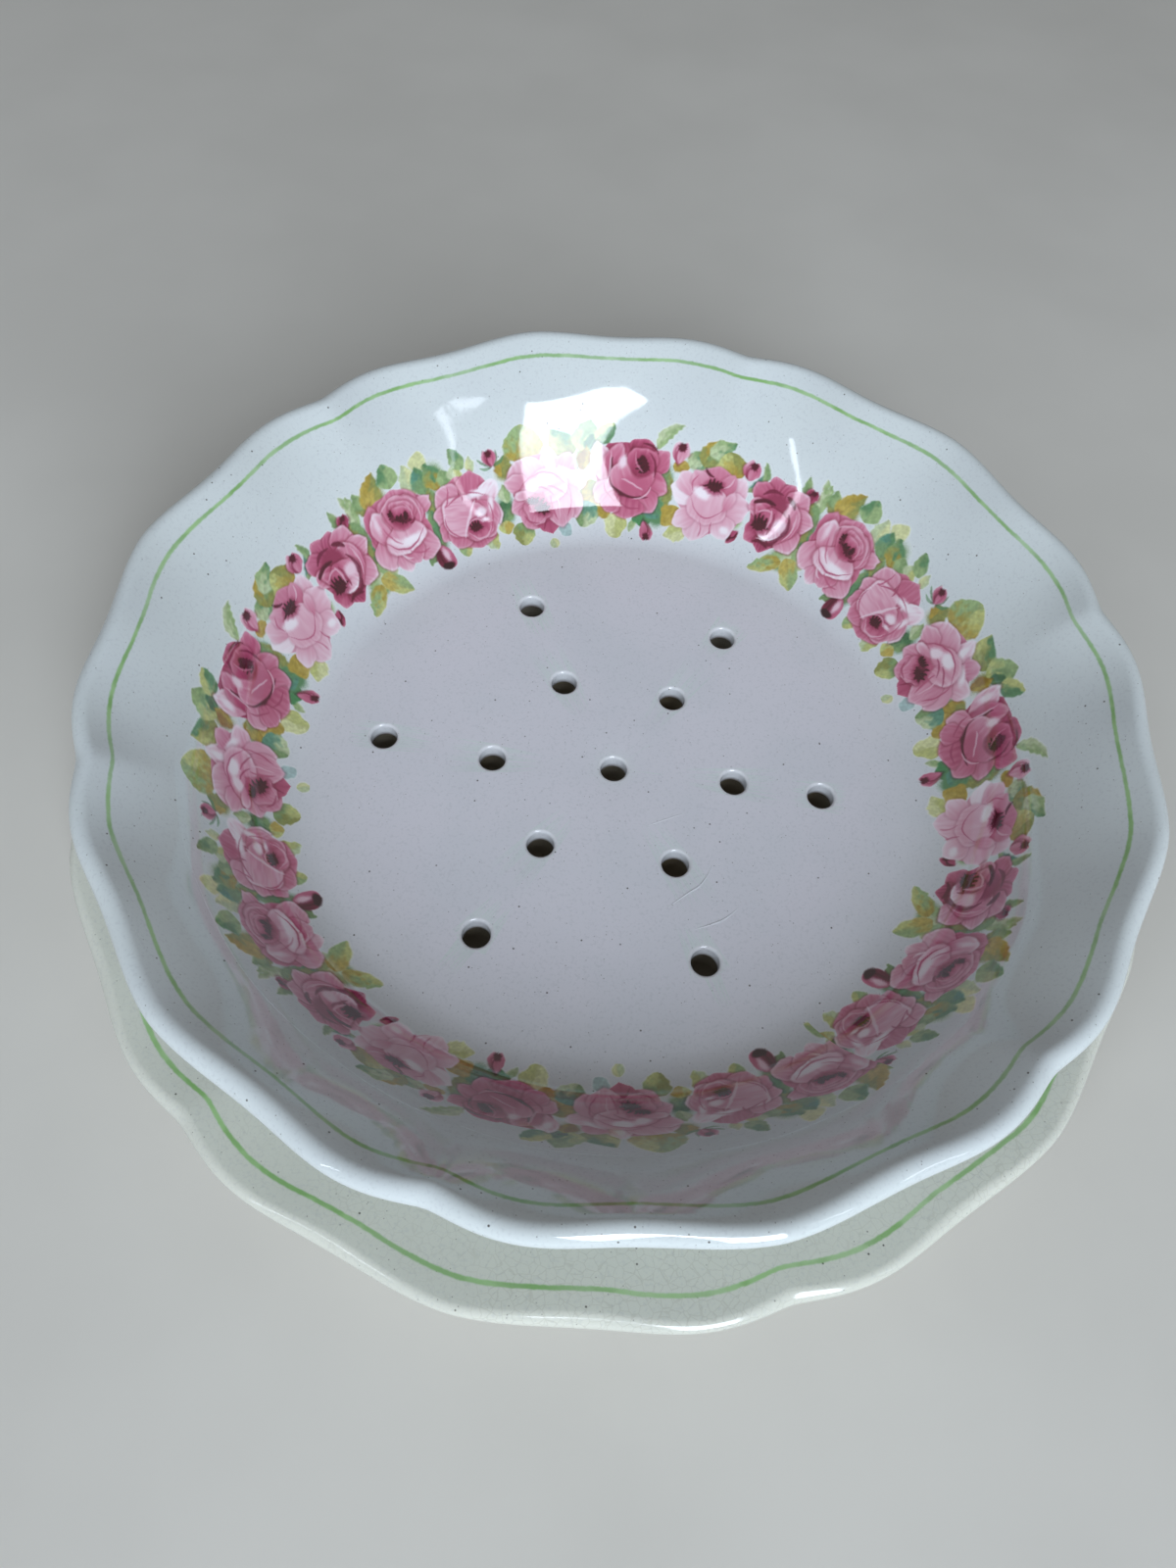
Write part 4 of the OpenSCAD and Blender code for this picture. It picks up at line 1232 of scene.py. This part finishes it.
# %% Floor
FLOOR_SIZE = 12
FADE_FROM, FADE_TO = 0.6, 1.6
BOARD_TONES = ("#DDD9D1", "#D7D3CB")
deselect_all()
bpy.ops.mesh.primitive_plane_add(size=FLOOR_SIZE)
ground = bpy.context.object
ground.name = "pale_floor"
matt = bpy.data.materials.new("matt_pale_board")
tree, shader, place = begin_material(matt, 0.9, 1.45)
board = laid(tree, srgb(BOARD_TONES[0]), srgb(BOARD_TONES[1]), drift(tree, place, 90, 0.3, 0.7, detail=3.0))
tree.links.new(board, shader.inputs["Base Color"])
away = add(tree, "VectorMath", {"operation": "LENGTH"}, _0=place).outputs["Value"]
far_off = add(tree, "MapRange", SOFT_STEP, Value=away, _1=FADE_FROM, _2=FADE_TO).outputs[0]
far_off = add(tree, "Math", {"operation": "MULTIPLY"}, _0=far_off, _1=looked_at(tree)).outputs[0]
haze = add(tree, "Emission", Color=srgb(BACKDROP_TONE), Strength=SKY_SEEN)
blend = add(tree, "MixShader", _0=far_off, _1=shader.outputs[0], _2=haze.outputs[0])
tree.links.new(blend.outputs[0], tree.nodes["Material Output"].inputs["Surface"])
ground.data.materials.append(matt)
print("the floor fades into the backdrop by", FADE_TO, "m")

# %% Lights
WINDOW_AWAY = 2.0
DAYLIGHT_TONE = "#E8F3FF"


def softbox(name, turn, rise_angle, width, height, watts, mirrored=True):
    """A rectangular lamp that faces the bowl, at a turn to the right of the camera's side and a rise, in
    degrees. The glaze shows it as a bright patch only where it is mirrored."""
    a, b = radians(turn), radians(rise_angle)
    place = WINDOW_AWAY * Vector((sin(a) * cos(b), -cos(a) * cos(b), sin(b)))
    deselect_all()
    bpy.ops.object.light_add(type="AREA", location=place)
    lamp = bpy.context.object
    lamp.name = name
    lamp.data.shape = "RECTANGLE"
    lamp.data.size, lamp.data.size_y, lamp.data.energy = width, height, watts
    lamp.data.color = srgb(DAYLIGHT_TONE)[:3]
    lamp.visible_glossy = mirrored
    lamp.rotation_euler = (Vector((0, 0, floor_z)) - place).to_track_quat("-Z", "Y").to_euler()


softbox("wide_window", 23.2, 31, 0.71, 1.55, 35)
softbox("narrow_window", -38.5, 32, 0.045, 1.3, 1.3)
softbox("open_pane", 51.5, 31, 0.04, 1.3, 0.7)
softbox("room_light", -24, 42, 1.6, 1.0, 11.5, mirrored=False)

# %% Camera
EYE = Vector((-1.95, -154.6, 248.0)) * MM + Vector((0, 0, floor_z))
AIM = Vector((-6.25, -5.75, 0)) * MM + Vector((0, 0, floor_z))
ROLL = 5.6
LENS = 25.2
SENSOR = 36
bpy.ops.object.camera_add(location=EYE)
camera = bpy.context.object
camera.data.lens, camera.data.sensor_width = LENS, SENSOR
camera.data.clip_start = 0.01
look = (AIM - EYE).to_track_quat("-Z", "Y")
camera.rotation_euler = (look @ Quaternion((0, 0, 1), radians(ROLL))).to_euler()
bpy.context.scene.camera = camera
bpy.context.scene.view_settings.view_transform = "Standard"
print("the camera is", round((EYE - AIM).length / MM), "mm from what it looks at")
